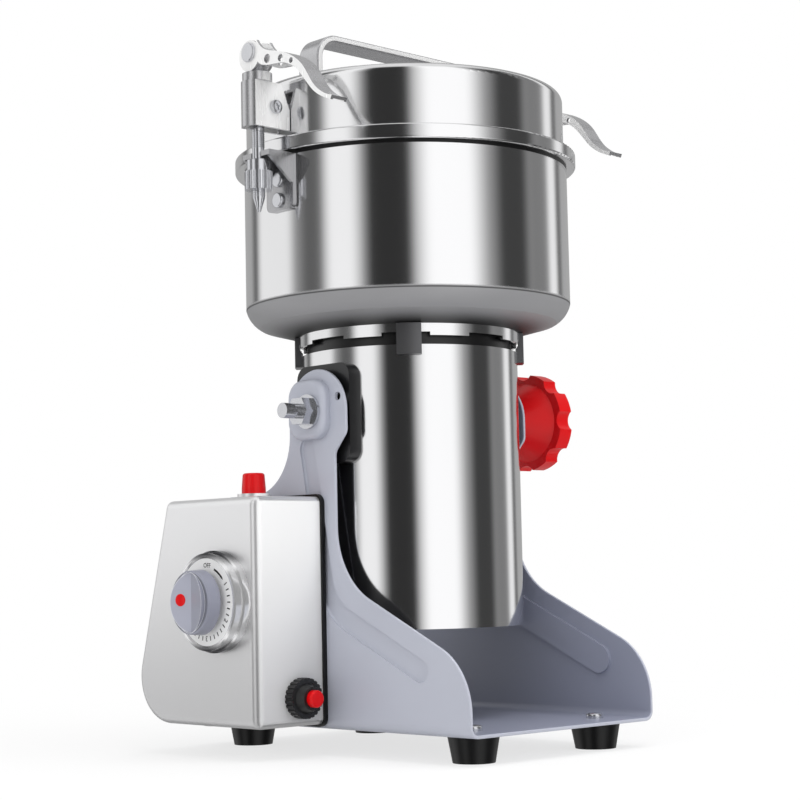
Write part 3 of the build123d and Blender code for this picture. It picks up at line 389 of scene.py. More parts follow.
@dataclass(frozen=True)
class BrushedSteel(Finish):
    """Sheet steel with a straight brushed grain along one axis."""

    along: Scale = (2200.0, 2200.0, 25.0)
    grain_share: float = 0.16
    grain_show: float = 0.3
    clouds: Scale = (22.0, 22.0, 22.0)

    def shade(self, sheet: NodeSheet) -> Wire:
        """Fine lines in the gloss and in the surface.

        Args:
            sheet: The material's empty node sheet.

        Returns:
            The shader's wire.
        """
        lines = sheet.noise(self.along, Detail.FINE)
        return sheet.principled({
            **self.tones(sheet), "Roughness": self.varied(lines, self.grain_share),
            "Normal": sheet.bump(lines, self.grain_depth, self.grain_show)})

    def tones(self, sheet: NodeSheet) -> Dict[str, Value]:
        """The colour and how metallic it is, by socket."""
        colour = self.mottled(sheet, sheet.noise(self.clouds, Detail.FINE))
        return {"Base Color": colour, "Metallic": self.metallic}


@dataclass(frozen=True)
class PanelSteel(BrushedSteel):
    """Brushed sheet with painted light, pale and less metallic where it faces along one axis, and with painted
    shade that darkens it low down on one node.
    """

    faces: Axis = Axis.Y
    front_from: float = 0.9
    front_to: float = 0.985
    # Painted light on the face that looks along the axis, and painted shade low down.
    front_colour: Colour = grey(244)
    front_satin: float = 0.7
    fall_node: str = ""
    low_colour: Colour = linear(205, 205, 206)

    def tones(self, sheet: NodeSheet) -> Dict[str, Value]:
        """The panel's painted light and painted shade over the plain sheet's colours.

        Args:
            sheet: The material's node sheet.

        Returns:
            The colour and how metallic it is, by socket.
        """
        # Painted light: the face that looks along the axis is made pale and less metallic.
        front = sheet.along(self.faces, sheet.facing()).size().rise(self.front_from, self.front_to)
        colour = sheet.mix(front, super().tones(sheet)["Base Color"], self.front_colour)
        # Painted shade: darker towards the bottom of the node.
        if self.fall_node:
            low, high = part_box(self.fall_node)
            colour = sheet.mix(sheet.along(Axis.Z).rise(low.z, high.z), self.low_colour, colour)
        return {"Base Color": colour, "Metallic": self.metallic - front * self.front_satin}


@dataclass(frozen=True)
class KnobPlastic(Finish):
    """The timer knob's moulding, with painted light and shade: a lighter and a darker facet, darker walls, a
    darker skirt and a painted highlight line round the grip.
    """

    grain_show: float = 0.4
    gloss_share: float = 0.1
    # Painted shade: far is the shaded facet, then the side walls and the skirt; the pale line is a painted
    # highlight.
    far: Colour = linear(140, 142, 156)
    wall: Colour = linear(136, 138, 152)
    skirt: Colour = linear(112, 114, 124)
    worn: Colour = linear(214, 215, 222)
    front_from: float = 0.8
    front_to: float = 0.9
    ridge: float = 0.1
    leaf_radius: float = 17.333 * MM
    leaf_aside: float = 2.833 * MM
    skirt_edge: float = 0.2 * MM
    line: float = 0.45 * MM

    def shade(self, sheet: NodeSheet) -> Wire:
        """Paint the facets and walls lighter or darker by where they face, as painted light and shade, and find
        the grip by its leaf outline.

        Args:
            sheet: The material's empty node sheet.

        Returns:
            The shader's wire.
        """
        facing = sheet.facing()
        front = (0 - sheet.along(Axis.X, facing)).rise(self.front_from, self.front_to)
        grain = sheet.noise((self.grain,) * 3, Detail.PLAIN)
        # Painted light and shade: one facet keeps the lit colour, the other takes the shaded one, and the side
        # walls a shaded one.
        facet_shades = sheet.mix(sheet.along(Axis.Y, facing).rise(-self.ridge, self.ridge), self.colour, self.far)
        facet_shades = sheet.mix(front, self.wall, facet_shades)
        shifts = [Vector((0.0, side * self.leaf_aside, 0.0)) for side in (-1, 1)]
        arcs = [sheet.radius(middle("timer_knob") + shift, Axis.X) for shift in shifts]
        beyond = arcs[0].larger(arcs[1]) - self.leaf_radius
        # Painted shade on the skirt beyond the leaf, and a painted highlight line along the leaf's rim.
        colour = sheet.mix(front * beyond.rise(0.0, self.skirt_edge), facet_shades, self.skirt)
        colour = sheet.mix(front * beyond.size().rise(self.line, self.line / 2), colour, self.worn)
        return sheet.principled({
            "Base Color": colour, "Roughness": self.varied(grain, self.gloss_share),
            "Coat Weight": self.coat, "Normal": sheet.bump(grain, self.grain_depth, self.grain_show)})


@dataclass(frozen=True)
class RingChrome(Finish):
    """The timer ring's turned chrome, with a painted reflection that darkens it towards its top and bottom."""

    grain: float = 24000.0
    grain_show: float = 0.1
    line_gloss: float = 0.015
    # The dark colour is a painted reflection, laid on near the ring's top and bottom.
    dark: Colour = (0.05, 0.05, 0.055)
    dark_from: float = 0.68
    dark_to: float = 0.94

    def shade(self, sheet: NodeSheet) -> Wire:
        """Fine turned lines about the timer's axis, and the painted dark reflection near its top and bottom.

        Args:
            sheet: The material's empty node sheet.

        Returns:
            The shader's wire.
        """
        low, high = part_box("timer_bezel")
        centre = (low + high) / 2
        # Painted reflection: the ring darkens with distance from its middle height.
        away = (sheet.along(Axis.Z) - centre.z).size() / ((high.z - low.z) / 2)
        lines = (sheet.radius(centre, Axis.X) * self.grain).sine()
        return sheet.principled({
            "Base Color": sheet.mix(away.rise(self.dark_from, self.dark_to), self.colour, self.dark),
            "Metallic": self.metallic, "Roughness": self.roughness + lines * self.line_gloss,
            "Normal": sheet.bump(lines, self.grain_depth, self.grain_show)})


@dataclass(frozen=True)
class StandPaint(Finish):
    """Satin stove paint, pale outside, with painted shade: dark inside, and darkest inside the cheek that
    carries the box.
    """

    coat_roughness: float = 0.25
    grain: float = 520.0
    grain_show: float = 0.4
    gloss_share: float = 0.15
    clouds: Scale = (16.0, 16.0, 16.0)
    # Painted shade: the inner colour covers faces that look inwards, and the near-black one the inside of the
    # box's cheek.
    inner: Colour = linear(146, 150, 168)
    lining: Colour = linear(34, 34, 38)
    lining_reach: float = 20.0 * MM
    cheek: float = 8.0 * MM
    cheek_blend: float = 0.5 * MM
    bend_rise: float = 13.0 * MM
    bend_blend: float = 2.0 * MM
    inward_from: float = 0.01
    inward_to: float = 0.03
    level_from: float = 0.6
    level_to: float = 0.9
    bulge_from: float = 0.02 * MM
    bulge_to: float = 0.2 * MM

    def shade(self, sheet: NodeSheet) -> Wire:
        """Orange-peel skin, and painted shade where a face looks at the motor.

        Args:
            sheet: The material's empty node sheet.

        Returns:
            The shader's wire.
        """
        low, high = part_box("stand_frame")
        inside = (high.x - low.x) / 2 - self.cheek
        bend = low.z + self.bend_rise
        start = bend + self.bend_blend
        peel = sheet.noise((self.grain,) * 3, Detail.PLAIN)
        cloud = sheet.noise(self.clouds, Detail.FINE)
        facing = sheet.facing()
        height = sheet.along(Axis.Z)
        side = sheet.along(Axis.X) - middle("motor_housing").x
        inward = (0 - side * sheet.along(Axis.X, facing)).rise(self.inward_from, self.inward_to)
        between = side.size().rise(inside + self.cheek_blend, inside - self.cheek_blend)
        floor = sheet.along(Axis.Z, facing).rise(self.level_from, self.level_to) * between
        bulge = side.size().rise(inside - self.bulge_from, inside - self.bulge_to)
        within = inward.larger(bulge * height.rise(start, start + self.bend_blend))
        shade_mask = within.larger(floor * height.rise(start, bend - self.bend_blend))
        # Painted shade: dark grey on the inner faces, near black inside the cheek that carries the box.
        coat = sheet.mix(within * side.rise(0.0, -self.lining_reach), self.inner, self.lining)
        return sheet.principled({
            "Base Color": sheet.mix(shade_mask, self.mottled(sheet, cloud), coat),
            "Roughness": self.varied(cloud, self.gloss_share),
            "Coat Weight": self.coat, "Coat Roughness": self.coat_roughness,
            "Normal": sheet.bump(peel, self.grain_depth, self.grain_show)})


MIRROR = SpunSteel("spun_steel", linear(231, 231, 232), 0.11, metallic=1.0, mottle=0.05)
BOWL = replace(MIRROR, name="bowl_steel", matt_node="bowl")
# Latch, handle and lever steel carry painted light on the faces that look to the front.
LATCH = PanelSteel("latch_steel", linear(196, 196, 198), 0.27, metallic=0.85, mottle=0.05, grain_depth=0.000002,
                   grain_share=0.06, along=(300.0, 300.0, 40.0), front_satin=0.6)
LEVER = replace(LATCH, name="lever_steel", faces=Axis.X)
KEEPER = BrushedSteel("keeper_steel", linear(176, 176, 178), 0.26, metallic=0.9, grain_depth=0.000008)
POST = BrushedSteel("post_steel", linear(112, 112, 114), 0.3, metallic=0.8, mottle=0.05, grain_depth=0.000008)
# The box sheet carries painted light on its front face and painted shade low down.
BOX = PanelSteel("box_steel", linear(244, 244, 245), 0.36, metallic=0.8, mottle=0.0, grain_depth=0.000008,
                 grain_share=0.08, front_colour=grey(248), fall_node="control_box")
# The knob's colour is its lit facet, as painted light.
KNOB = KnobPlastic("knob_moulding", linear(168, 170, 184), 0.36, grain=1800.0, coat=0.2)
FINISHES: Dict[str, Finish] = {
    "painted_grey": StandPaint("stand_paint", linear(180, 183, 195), 0.42, coat=0.25, mottle=0.03),
    "painted_black": Finish("black_paint", linear(22, 22, 24), 0.38, coat=0.2),
    "polished_steel": MIRROR,
    "satin_steel": BrushedSteel("sheet_steel", linear(220, 220, 221), 0.3, metallic=1.0, mottle=0.03),
    "bright_chrome": RingChrome("ring_chrome", linear(236, 236, 237), 0.16, metallic=0.7, grain_depth=0.00001),
    "zinc_steel": Finish("zinc_plate", linear(208, 209, 213), 0.18, metallic=0.9, grain=600.0),
    "black_rubber": Finish("foot_rubber", linear(16, 16, 17), 0.36, grain=1500.0, specular=0.3),
    "black_plastic": Finish("black_moulding", linear(20, 20, 21), 0.34, grain=1800.0),
    "grey_plastic": Finish("grey_moulding", linear(158, 160, 176), 0.36, grain=1800.0, coat=0.2, mottle=0.04),
    "white_plastic": Finish("dial_white", grey(238), 0.4, grain=1500.0, mottle=0.02),
    "red_plastic": Finish("red_moulding", linear(214, 2, 10), 0.3, coat=0.1, specular=0.25, mottle=0.06),
    "cast_aluminium": Finish("cast_metal", linear(170, 171, 174), 0.45, metallic=1.0, grain=500.0, mottle=0.2),
    "motor_iron": BrushedSteel("laminations", linear(95, 95, 98), 0.5, metallic=1.0,
                               along=(20.0, 20.0, 2000.0)),
    "copper_wire": BrushedSteel("enamel_wire", linear(176, 98, 52), 0.3, metallic=1.0,
                                along=(60.0, 60.0, 1300.0)),
    "nylon": Finish("nylon", linear(225, 224, 218), 0.45, grain=1200.0, mottle=0.03),
}


class Side(Enum):
    """The two latches, by the side that they hang on."""

    LEFT = "left"
    RIGHT = "right"


def own_finishes() -> Dict[str, Finish]:
    """The nodes whose finish differs from the rest of their slot.

    Returns:
        The finish of each such node.
    """
    kinds = {"latch_strap": LATCH, "latch_lever": LEVER, "keeper": KEEPER, "lid_lug": KEEPER}
    latch = {f"{kind}_{side.value}": finish for side in Side for kind, finish in kinds.items()}
    return {"bowl": BOWL, "control_box": BOX, "switch_housing": BOX, "lid_handle": LATCH, "timer_knob": KNOB,
            "neck_posts": POST, **latch}


@dataclass
class Wardrobe:
    """The materials of all finishes, each made once."""

    finishes: Dict[str, Finish]
    own: Dict[str, Finish]

    def __post_init__(self) -> None:
        """Make every material."""
        every = {finish.name: finish for finish in (*self.finishes.values(), *self.own.values())}
        self.made: Dict[str, bpy.types.Material] = {name: finish.material() for name, finish in every.items()}

    def dress(self, piece: bpy.types.Object, finish: Finish) -> None:
        """Give a piece one finish, in place of what it wears."""
        piece.data.materials.clear()
        piece.data.materials.append(self.made[finish.name])

    def dress_nodes(self) -> None:
        """Give every node of the frame its own finish or that of its slot."""
        for row in frame["record"]["subparts"]:
            finish = self.own.get(row["node"], self.finishes[row["material_slot"]])
            self.dress(frame["nodes"][row["node"]], finish)
            LOG.info("node %s wears %s", row["node"], finish.name)


@dataclass
class Bench:
    """Turns finished shapes into pieces that ride on a body."""

    wardrobe: Wardrobe
    smooth: float = math.radians(35)
    weld: float = 0.001 * MM

    def add(self, name: str, shape: bmesh.types.BMesh, body: str, slot: str, node: str = "") -> None:
        """Add a piece.

        Args:
            name: The piece's name.
            shape: Its shape in the part's frame, which is freed.
            body: The body that it moves with.
            slot: The record's slot that gives its finish.
            node: The node that it stands for, if any.
        """
        bmesh.ops.remove_doubles(shape, verts=shape.verts, dist=self.weld)
        bmesh.ops.recalc_face_normals(shape, faces=shape.faces)
        mesh = bpy.data.meshes.new(name)
        shape.to_mesh(mesh)
        shape.free()
        mesh.shade_smooth()
        mesh.set_sharp_from_angle(angle=self.smooth)
        piece = bpy.data.objects.new(name, mesh)
        bpy.context.scene.collection.objects.link(piece)
        self.wardrobe.dress(piece, self.wardrobe.finishes[slot])
        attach(piece, body)
        if node:
            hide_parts(node)
        LOG.info("piece %s rides on %s", name, body)


def new_verts(made: dict) -> List[bmesh.types.BMVert]:
    """The vertices among what an operator has made."""
    return [item for item in made["geom"] if isinstance(item, bmesh.types.BMVert)]


@dataclass
class TimerDial:
    """The dial's print and the knob's pointer dot. Angles are degrees, clockwise from the top."""

    ink: float = 0.05 * MM
    tick_radius: float = 20.6 * MM
    tick_length: float = 2.6 * MM
    tick_width: float = 0.7 * MM
    tick_step: int = 10
    hour_step: int = 60
    hours: int = 5
    figure_radius: float = 20.4 * MM
    figure_size: float = 4.2 * MM
    bold: float = 0.06 * MM
    letter_steps: int = 3
    off_radius: float = 20.6 * MM
    off_size: float = 3.7 * MM
    off_turn: float = 3.0
    arrow_radius: float = 19.8 * MM
    arrow_width: float = 1.2 * MM
    arrow_from: float = 22.0
    arrow_to: float = 47.0
    arrow_steps: int = 8
    arrow_head: float = 1.2
    dot_radius: float = 3.5 * MM
    dot_height: float = 0.25 * MM
    dot_aside: float = 7.3 * MM
    dot_rise: float = 1.5 * MM
    dot_sides: int = 40
    bevel_share: float = 0.6
    bevel_steps: int = 2
    valley: float = 4.0 * MM
    grip_half: float = 14.5 * MM

    def build(self, bench: Bench) -> None:
        """Add the print to the stand and the dot to the knob.

        Args:
            bench: Where pieces are added.
        """
        shape = bmesh.new()
        turns = [hour * self.hour_step for hour in range(1, self.hours + 1)]
        for turn in range(self.hour_step, turns[-1] + 1, self.tick_step):
            if turn not in turns:
                self.tick(shape, turn)
        for hour, turn in enumerate(turns, 1):
            self.letters(shape, str(hour), self.figure_size, turn, self.figure_radius)
        self.letters(shape, "OFF", self.off_size, self.off_turn, self.off_radius)
        self.arrow(shape)
        bench.add("dial_print", shape, "stand", "black_plastic")
        bench.add("knob_pointer", self.dot(), "timer", "red_plastic")

    @staticmethod
    def face(node: str) -> Matrix:
        """The front of a node on the timer's axis: X to the right, Y up and Z out, as seen from outside.

        Args:
            node: The node's name.

        Returns:
            The front's matrix.
        """
        low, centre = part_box(node)[0], middle(node)
        axes = Matrix(((0.0, 0.0, -1.0), (-1.0, 0.0, 0.0), (0.0, 1.0, 0.0))).to_4x4()
        return Matrix.Translation((low.x, centre.y, centre.z)) @ axes

    def spot(self, turn: float, radius: float) -> Matrix:
        """A place on the dial, in degrees clockwise from the top, with Y pointing outwards."""
        turned = Matrix.Rotation(math.radians(-turn), 4, "Z")
        return self.face("timer_dial") @ turned @ Matrix.Translation((0, radius, 0))

    def raise_ink(self, shape: bmesh.types.BMesh, faces: Sequence[bmesh.types.BMFace], place: Matrix) -> None:
        """Give flat faces the thickness of the ink and put them in place.

        Args:
            shape: The shape that holds them.
            faces: Faces that lie flat about the origin.
            place: Where they go.
        """
        low = list(dict.fromkeys(vert for face in faces for vert in face.verts))
        top = new_verts(bmesh.ops.extrude_face_region(shape, geom=list(faces), use_keep_orig=True))
        bmesh.ops.translate(shape, vec=(0, 0, self.ink), verts=top)
        bmesh.ops.transform(shape, matrix=place, verts=low + top)

    def tick(self, shape: bmesh.types.BMesh, turn: float) -> None:
        """Add one tick of the scale.

        Args:
            shape: The print.
            turn: Degrees clockwise from the top.
        """
        scale = Matrix.Diagonal((self.tick_width / 2, self.tick_length / 2, 1.0, 1.0))
        made = bmesh.ops.create_grid(shape, x_segments=1, y_segments=1, size=1.0, matrix=scale)
        self.raise_ink(shape, made["verts"][0].link_faces, self.spot(turn, self.tick_radius))

    def letters(self, shape: bmesh.types.BMesh, text: str, size: float, turn: float, radius: float) -> None:
        """Add a word or a figure, its top outwards.

        Args:
            shape: The print.
            text: What it says.
            size: The letters' size.
            turn: Degrees clockwise from the top.
            radius: The distance of its middle from the dial's.
        """
        curve = bpy.data.curves.new("letters", "FONT")
        curve.body = text
        curve.size = size
        curve.align_x = "CENTER"
        curve.align_y = "CENTER"
        curve.extrude = self.ink
        curve.offset = self.bold
        curve.resolution_u = self.letter_steps
        carrier = bpy.data.objects.new("letters", curve)
        bpy.context.scene.collection.objects.link(carrier)
        graph = bpy.context.evaluated_depsgraph_get()
        mesh = bpy.data.meshes.new_from_object(carrier.evaluated_get(graph))
        mesh.transform(self.spot(turn, radius))
        shape.from_mesh(mesh)
        bpy.data.objects.remove(carrier)
        bpy.data.curves.remove(curve)
        bpy.data.meshes.remove(mesh)

    def arrow(self, shape: bmesh.types.BMesh) -> None:
        """Add the bent stroke that shows which way to turn, with its head.

        Args:
            shape: The print.
        """
        before = set(shape.faces)
        ends = [shape.verts.new((0, self.arrow_radius + side * self.arrow_width / 2, 0)) for side in (-1, 1)]
        stroke = shape.edges.new(ends)
        sweep = math.radians(self.arrow_to - self.arrow_from)
        made = bmesh.ops.spin(shape, geom=[*ends, stroke], cent=(0, 0, 0), axis=(0, 0, -1), angle=sweep,
                              steps=self.arrow_steps)
        last = [item for item in made["geom_last"] if isinstance(item, bmesh.types.BMVert)]
        tip = Vector((self.arrow_width * self.arrow_head, self.arrow_radius, 0))
        point = shape.verts.new(Matrix.Rotation(-sweep, 3, "Z") @ tip)
        shape.faces.new((*last, point))
        drawn = [face for face in shape.faces if face not in before]
        self.raise_ink(shape, drawn, self.spot(self.arrow_from, 0.0))

    def dot(self) -> bmesh.types.BMesh:
        """The knob's pointer dot, flat on the facet to the left of the valley.

        Returns:
            The dot's shape.
        """
        shape = bmesh.new()
        bmesh.ops.create_circle(shape, cap_ends=True, segments=self.dot_sides, radius=self.dot_radius)
        raised = bmesh.ops.extrude_face_region(shape, geom=list(shape.faces), use_keep_orig=True)
        top = new_verts(raised)
        bmesh.ops.translate(shape, vec=(0, 0, self.dot_height), verts=top)
        edges = [edge for edge in shape.edges if all(vert in top for vert in edge.verts)]
        bmesh.ops.bevel(shape, geom=edges, offset=self.dot_height * self.bevel_share, affect="EDGES",
                        segments=self.bevel_steps, profile=0.5, material=-1)
        depth = self.valley * (1 - self.dot_aside / self.grip_half)
        lean = Matrix.Rotation(math.atan2(self.valley, self.grip_half), 4, "Y")
        place = Matrix.Translation((-self.dot_aside, self.dot_rise, -depth))
        bmesh.ops.transform(shape, matrix=self.face("timer_knob") @ place @ lean, verts=shape.verts)
        return shape


@dataclass
class LatchTrim:
    """The thread of a latch's draw rod, its ridge in shares of the pitch, and the cross-headed pivot screw."""

    side: Side
    rod_radius: float = 3.5 * MM
    thread_height: float = 0.32 * MM
    thread_sink: float = 0.05 * MM
    ridge: Tuple[float, float, float, float] = (0.1, 0.45, 0.55, 0.9)
    pitch: float = 1.25 * MM
    sides: int = 24
    tip_height: float = 8.0 * MM
    strap_gap: float = 1.5 * MM
    fork_gap: float = 5.0 * MM
    head_radius: float = 4.0 * MM
    head_height: float = 2.2 * MM
    head_sides: int = 36
    head_turn: float = 20.0
    crown: float = 0.9 * MM
    crown_out: float = 0.7
    crown_down: float = 0.3
    shank_radius: float = 2.0 * MM
    cross_reach: float = 2.1 * MM
    cross_half: float = 0.5 * MM
    cross_depth: float = 1.2 * MM
    cross_taper: float = 0.7

    def build(self, bench: Bench) -> None:
        """Add the thread to the rod and the screw to the strap.

        Args:
            bench: Where pieces are added.
        """
        name = self.side.value
        rod, nut, strap = (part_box(f"latch_{kind}_{name}") for kind in ("rod", "nut", "strap"))
        shape = bmesh.new()
        self.thread(shape, rod[0].z + self.tip_height, nut[0].z)
        self.thread(shape, nut[1].z + self.fork_gap, strap[0].z - self.strap_gap)
        bench.add(f"rod_thread_{name}", shape, f"draw_{name}", "zinc_steel")
        bench.add(f"pivot_screw_{name}", self.screw(), f"latch_{name}", "zinc_steel", f"latch_screw_{name}")

    def thread(self, shape: bmesh.types.BMesh, low: float, high: float) -> None:
        """Wind one stretch of thread round the rod.

        Args:
            shape: The thread's shape.
            low: The height at which it starts.
            high: The height at which it ends.
        """
        name = self.side.value
        centre = Vector((middle(f"latch_rod_{name}").x, middle(f"latch_nut_{name}").y, low))
        root = self.rod_radius - self.thread_sink
        crest = self.rod_radius + self.thread_height
        corners = [Vector((reach, 0, share * self.pitch))
                   for reach, share in zip((root, crest, crest, root), self.ridge)]
        face = shape.faces.new([shape.verts.new(centre + corner) for corner in corners])
        turns = (high - low) / self.pitch - 1
        steps = round(turns * self.sides)
        bmesh.ops.spin(shape, geom=[face], cent=centre, axis=(0, 0, 1), dvec=(0, 0, self.pitch / self.sides),
                       angle=2 * math.pi * steps / self.sides, steps=steps)

    def screw(self) -> bmesh.types.BMesh:
        """A pan-headed screw with a cross recess, along Y.

        Returns:
            The screw's shape.
        """
        low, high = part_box(f"latch_screw_{self.side.value}")
        centre = (low + high) / 2
        shape = bmesh.new()
        inner = self.head_radius - self.crown
        rim = bmesh.ops.create_circle(shape, segments=self.head_sides, radius=inner)["verts"]
        ring = list(dict.fromkeys(edge for vert in rim for edge in vert.link_edges))
        cross = self.cross(shape)
        bmesh.ops.triangle_fill(shape, use_beauty=True, edges=ring + cross)
        floor = self.pull(shape, cross, self.cross_taper, self.cross_depth)
        bmesh.ops.edgeloop_fill(shape, edges=floor)
        steps = ((inner + self.crown_out * self.crown, self.crown_down * self.crown),
                 (self.head_radius, (1 - self.crown_down) * self.crown),
                 (self.head_radius, self.head_height - self.crown), (self.shank_radius, 0.0),
                 (self.shank_radius, high.y - low.y - self.head_height))
        for radius, drop in steps:
            ring = self.pull(shape, ring, radius / inner, drop)
            inner = radius
        bmesh.ops.edgeloop_fill(shape, edges=ring)
        axes = Matrix(((1.0, 0.0, 0.0), (0.0, 0.0, -1.0), (0.0, 1.0, 0.0))).to_4x4()
        turn = Matrix.Rotation(math.radians(self.head_turn), 4, "Z")
        place = Matrix.Translation((centre.x, low.y, centre.z)) @ axes @ turn
        bmesh.ops.transform(shape, matrix=place, verts=shape.verts)
        return shape

    def cross(self, shape: bmesh.types.BMesh) -> List[bmesh.types.BMEdge]:
        """The outline of the screw's cross recess.

        Args:
            shape: The screw's shape.

        Returns:
            The outline's edges.
        """
        reach, half = self.cross_reach, self.cross_half
        arm = ((half, half), (reach, half), (reach, -half))
        quarters = [Matrix.Rotation(math.radians(-90 * number), 2) for number in range(4)]
        corners = [quarter @ Vector(point) for quarter in quarters for point in arm]
        verts = [shape.verts.new((*corner, 0.0)) for corner in corners]
        return [shape.edges.new((vert, verts[number - 1])) for number, vert in enumerate(verts)]

    @staticmethod
    def pull(shape: bmesh.types.BMesh, ring: Sequence[bmesh.types.BMEdge], scale: float,
             drop: float) -> List[bmesh.types.BMEdge]:
        """Extrude a ring of edges inwards or outwards and down.

        Args:
            shape: The shape that holds the ring.
            ring: Its edges.
            scale: The new ring's size against the old one's.
            drop: How far it goes down.

        Returns:
            The new ring's edges.
        """
        made = bmesh.ops.extrude_edge_only(shape, edges=list(ring))
        verts = new_verts(made)
        bmesh.ops.scale(shape, vec=(scale, scale, 1.0), verts=verts)
        bmesh.ops.translate(shape, vec=(0, 0, -drop), verts=verts)
        kept = set(verts)
        edges = [item for item in made["geom"] if isinstance(item, bmesh.types.BMEdge)]
        return [edge for edge in edges if kept.issuperset(edge.verts)]


@dataclass
class PhotoCamera:
    """The camera at the photograph's place, about the motor's axis. Angles are degrees, the lens is in mm."""

    azimuth: float = -43.5
    distance: float = 1.150
    height: float = 0.106
    pitch: float = 5.05
    yaw: float = 0.31
    roll: float = -1.2
    lens: float = 85.5
    near: float = 0.01

    def back(self) -> Vector:
        """The level direction from the object to the camera."""
        turn = math.radians(self.azimuth)
        return Vector((math.sin(turn), -math.cos(turn), 0.0))

    def build(self) -> None:
        """Add the camera and make it the scene's own."""
        axis = middle("motor_housing")
        data = bpy.data.cameras.new("camera")
        data.lens = self.lens
        data.clip_start = self.near
        camera = bpy.data.objects.new("camera", data)
        bpy.context.scene.collection.objects.link(camera)
        level = (-self.back()).to_track_quat("-Z", "Y").to_matrix().to_4x4()
        turn = Matrix.Rotation(math.radians(self.yaw), 4, "Y")
        tilt = Matrix.Rotation(math.radians(self.pitch), 4, "X")
        lean = Matrix.Rotation(math.radians(self.roll), 4, "Z")
        place = Vector((axis.x, axis.y, self.height)) + self.back() * self.distance
        camera.matrix_world = Matrix.Translation(place) @ level @ turn @ tilt @ lean
        bpy.context.scene.camera = camera


@dataclass(frozen=True)
class Panel:
    """A soft-edged card or lit panel round the object, in degrees from the camera's direction."""

    centre: float
    half: float
    grey: int
    soft: float = 6.0


@dataclass(frozen=True)
class Lamp:
    """A soft square lamp at a place, brought some way towards the camera."""

    name: str
    place: Tuple[float, float, float]
    size: float
    power: float
    towards: float = 0.0

    def build(self, back: Vector, aim_height: float) -> None:
        """Add the lamp, turned to the object and not mirrored by it.

        Args:
            back: The level direction from the object to the camera.
            aim_height: The height above the origin that it looks at.
        """
        data = bpy.data.lights.new(self.name, "AREA")
        data.size = self.size
        data.energy = self.power
        lamp = bpy.data.objects.new(self.name, data)
        place = back * self.towards + Vector(self.place)
        aim = Vector((0.0, 0.0, aim_height)) - place
        lamp.matrix_world = Matrix.Translation(place) @ aim.to_track_quat("-Z", "Y").to_matrix().to_4x4()
        lamp.visible_glossy = False
        bpy.context.scene.collection.objects.link(lamp)


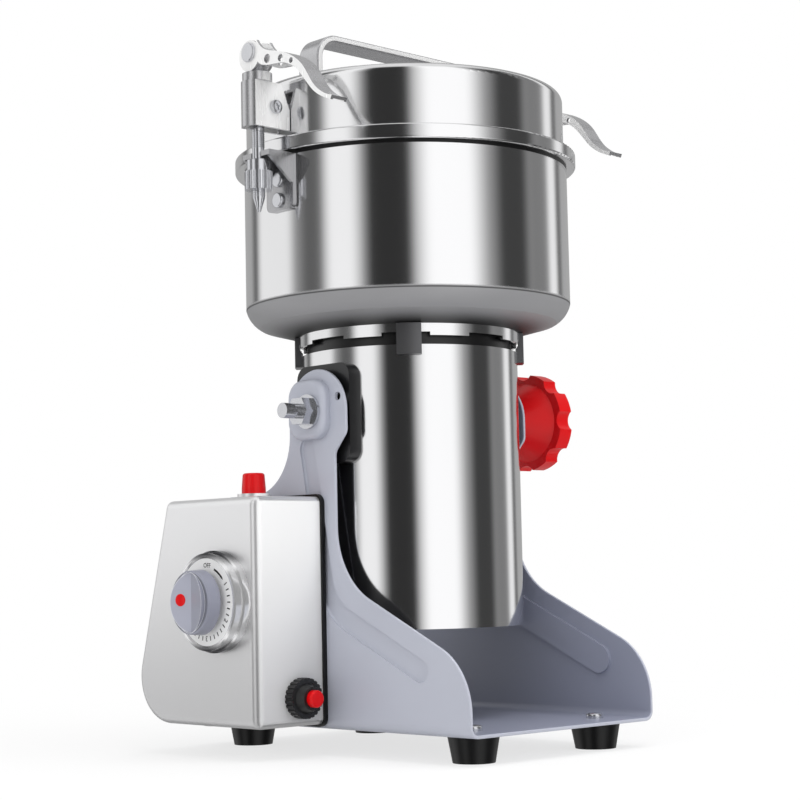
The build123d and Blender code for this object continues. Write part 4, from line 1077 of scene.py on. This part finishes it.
@dataclass
class Studio:
    """A pale floor, soft lamps and the panels that polished steel mirrors."""

    floor_radius: float = 6.0
    floor_sides: int = 96
    floor_grey: float = 0.86
    near_glow: float = 0.72
    glow_from: float = 0.15
    glow_to: float = 0.6
    ambient: float = 0.68
    panel_level: float = 1.22
    roof_from: float = 0.75
    roof_to: float = 0.95
    roof_grey: float = 0.72
    surround: int = 160
    panels: Tuple[Panel, ...] = (
        Panel(-135, 5, 90), Panel(-108, 20, 230), Panel(-70, 11, 90, 9), Panel(-46, 12, 240),
        Panel(-12, 16, 45, 5), Panel(31, 21, 255, 9), Panel(80, 16, 60, 9), Panel(106, 10, 120),
        Panel(125, 6, 230, 4), Panel(136, 4, 100, 4))
    aim_height: float = 0.2
    lamps: Tuple[Lamp, ...] = (
        Lamp("key", (0.35, 0.0, 1.5), 1.2, 14.0, towards=0.5),
        Lamp("fill", (-1.6, -0.5, 0.9), 1.4, 6.0),
        Lamp("front", (0.6, -1.7, 0.6), 1.2, 7.0))

    def build(self, back: Vector) -> None:
        """Add the floor, the world and the lamps.

        Args:
            back: The level direction from the object to the camera.
        """
        self.build_floor()
        self.build_world(back)
        for lamp in self.lamps:
            lamp.build(back, self.aim_height)

    def build_floor(self) -> None:
        """A round floor, white to the camera but for the object's shadow."""
        mesh = bpy.data.meshes.new("floor")
        shape = bmesh.new()
        bmesh.ops.create_circle(shape, cap_ends=True, segments=self.floor_sides, radius=self.floor_radius)
        shape.to_mesh(mesh)
        shape.free()
        floor = bpy.data.objects.new("floor", mesh)
        bpy.context.scene.collection.objects.link(floor)
        made = bpy.data.materials.new("floor")
        made.use_nodes = True
        sheet = NodeSheet(made.node_tree)
        far = sheet.radius(Vector(), Axis.Z).rise(self.glow_from, self.glow_to)
        seen = sheet.node("ShaderNodeLightPath", output="Is Camera Ray")
        paint = sheet.node("ShaderNodeBsdfDiffuse", inputs={"Color": sheet.opaque((self.floor_grey,) * 3)})
        glow = sheet.node("ShaderNodeEmission", inputs={"Color": sheet.opaque(WHITE), "Strength": 1.0})
        share = seen * (self.near_glow + far * (1 - self.near_glow))
        surface = sheet.node("ShaderNodeMixShader", inputs={0: share, 1: paint, 2: glow})
        sheet.node("ShaderNodeOutputMaterial", inputs={"Surface": surface})
        mesh.materials.append(made)
        floor.visible_glossy = False

    def build_world(self, back: Vector) -> None:
        """White to the camera, even to matt surfaces, and a ring of panels to polished ones.

        Args:
            back: The level direction from the object to the camera.
        """
        world = bpy.data.worlds.new("studio")
        bpy.context.scene.world = world
        world.use_nodes = True
        sheet = NodeSheet(world.node_tree)
        way = sheet.node("ShaderNodeTexCoord", output="Generated")
        right = Vector((-back.y, back.x, 0.0))
        ahead, aside = (
            sheet.node("ShaderNodeVectorMath", {"operation": "DOT_PRODUCT"}, {0: way, 1: tuple(axis)}, "Value")
            for axis in (back, right))
        degrees = aside.turn(ahead) * math.degrees(1)
        ring: Value = grey(self.surround)
        for panel in self.panels:
            share = (degrees - panel.centre).size().rise(panel.half + panel.soft, panel.half - panel.soft)
            ring = sheet.mix(share, ring, grey(panel.grey))
        roof = sheet.along(Axis.Z, way).rise(self.roof_from, self.roof_to)
        panels = sheet.mix(roof, ring, (self.roof_grey,) * 3)
        camera, glossy, through = (sheet.node("ShaderNodeLightPath", output=f"Is {ray} Ray")
                                   for ray in ("Camera", "Glossy", "Transmission"))
        mirror = glossy.larger(through)
        lit = sheet.mix(mirror, (self.ambient,) * 3, panels)
        colour = sheet.mix(camera, lit, WHITE)
        strength = 1 + mirror * (self.panel_level - 1)
        ground = sheet.node("ShaderNodeBackground", inputs={"Color": colour, "Strength": strength})
        sheet.node("ShaderNodeOutputWorld", inputs={"Surface": ground})


def main() -> None:
    """Dress the grinder and set up its studio."""
    logging.basicConfig(level=logging.INFO, format="%(name)s: %(message)s")
    bpy.context.scene.view_settings.view_transform = "Standard"
    wardrobe = Wardrobe(FINISHES, own_finishes())
    wardrobe.dress_nodes()
    bench = Bench(wardrobe)
    TimerDial().build(bench)
    for side in Side:
        LatchTrim(side).build(bench)
    camera = PhotoCamera()
    camera.build()
    Studio().build(camera.back())


if __name__ == "__main__":
    main()
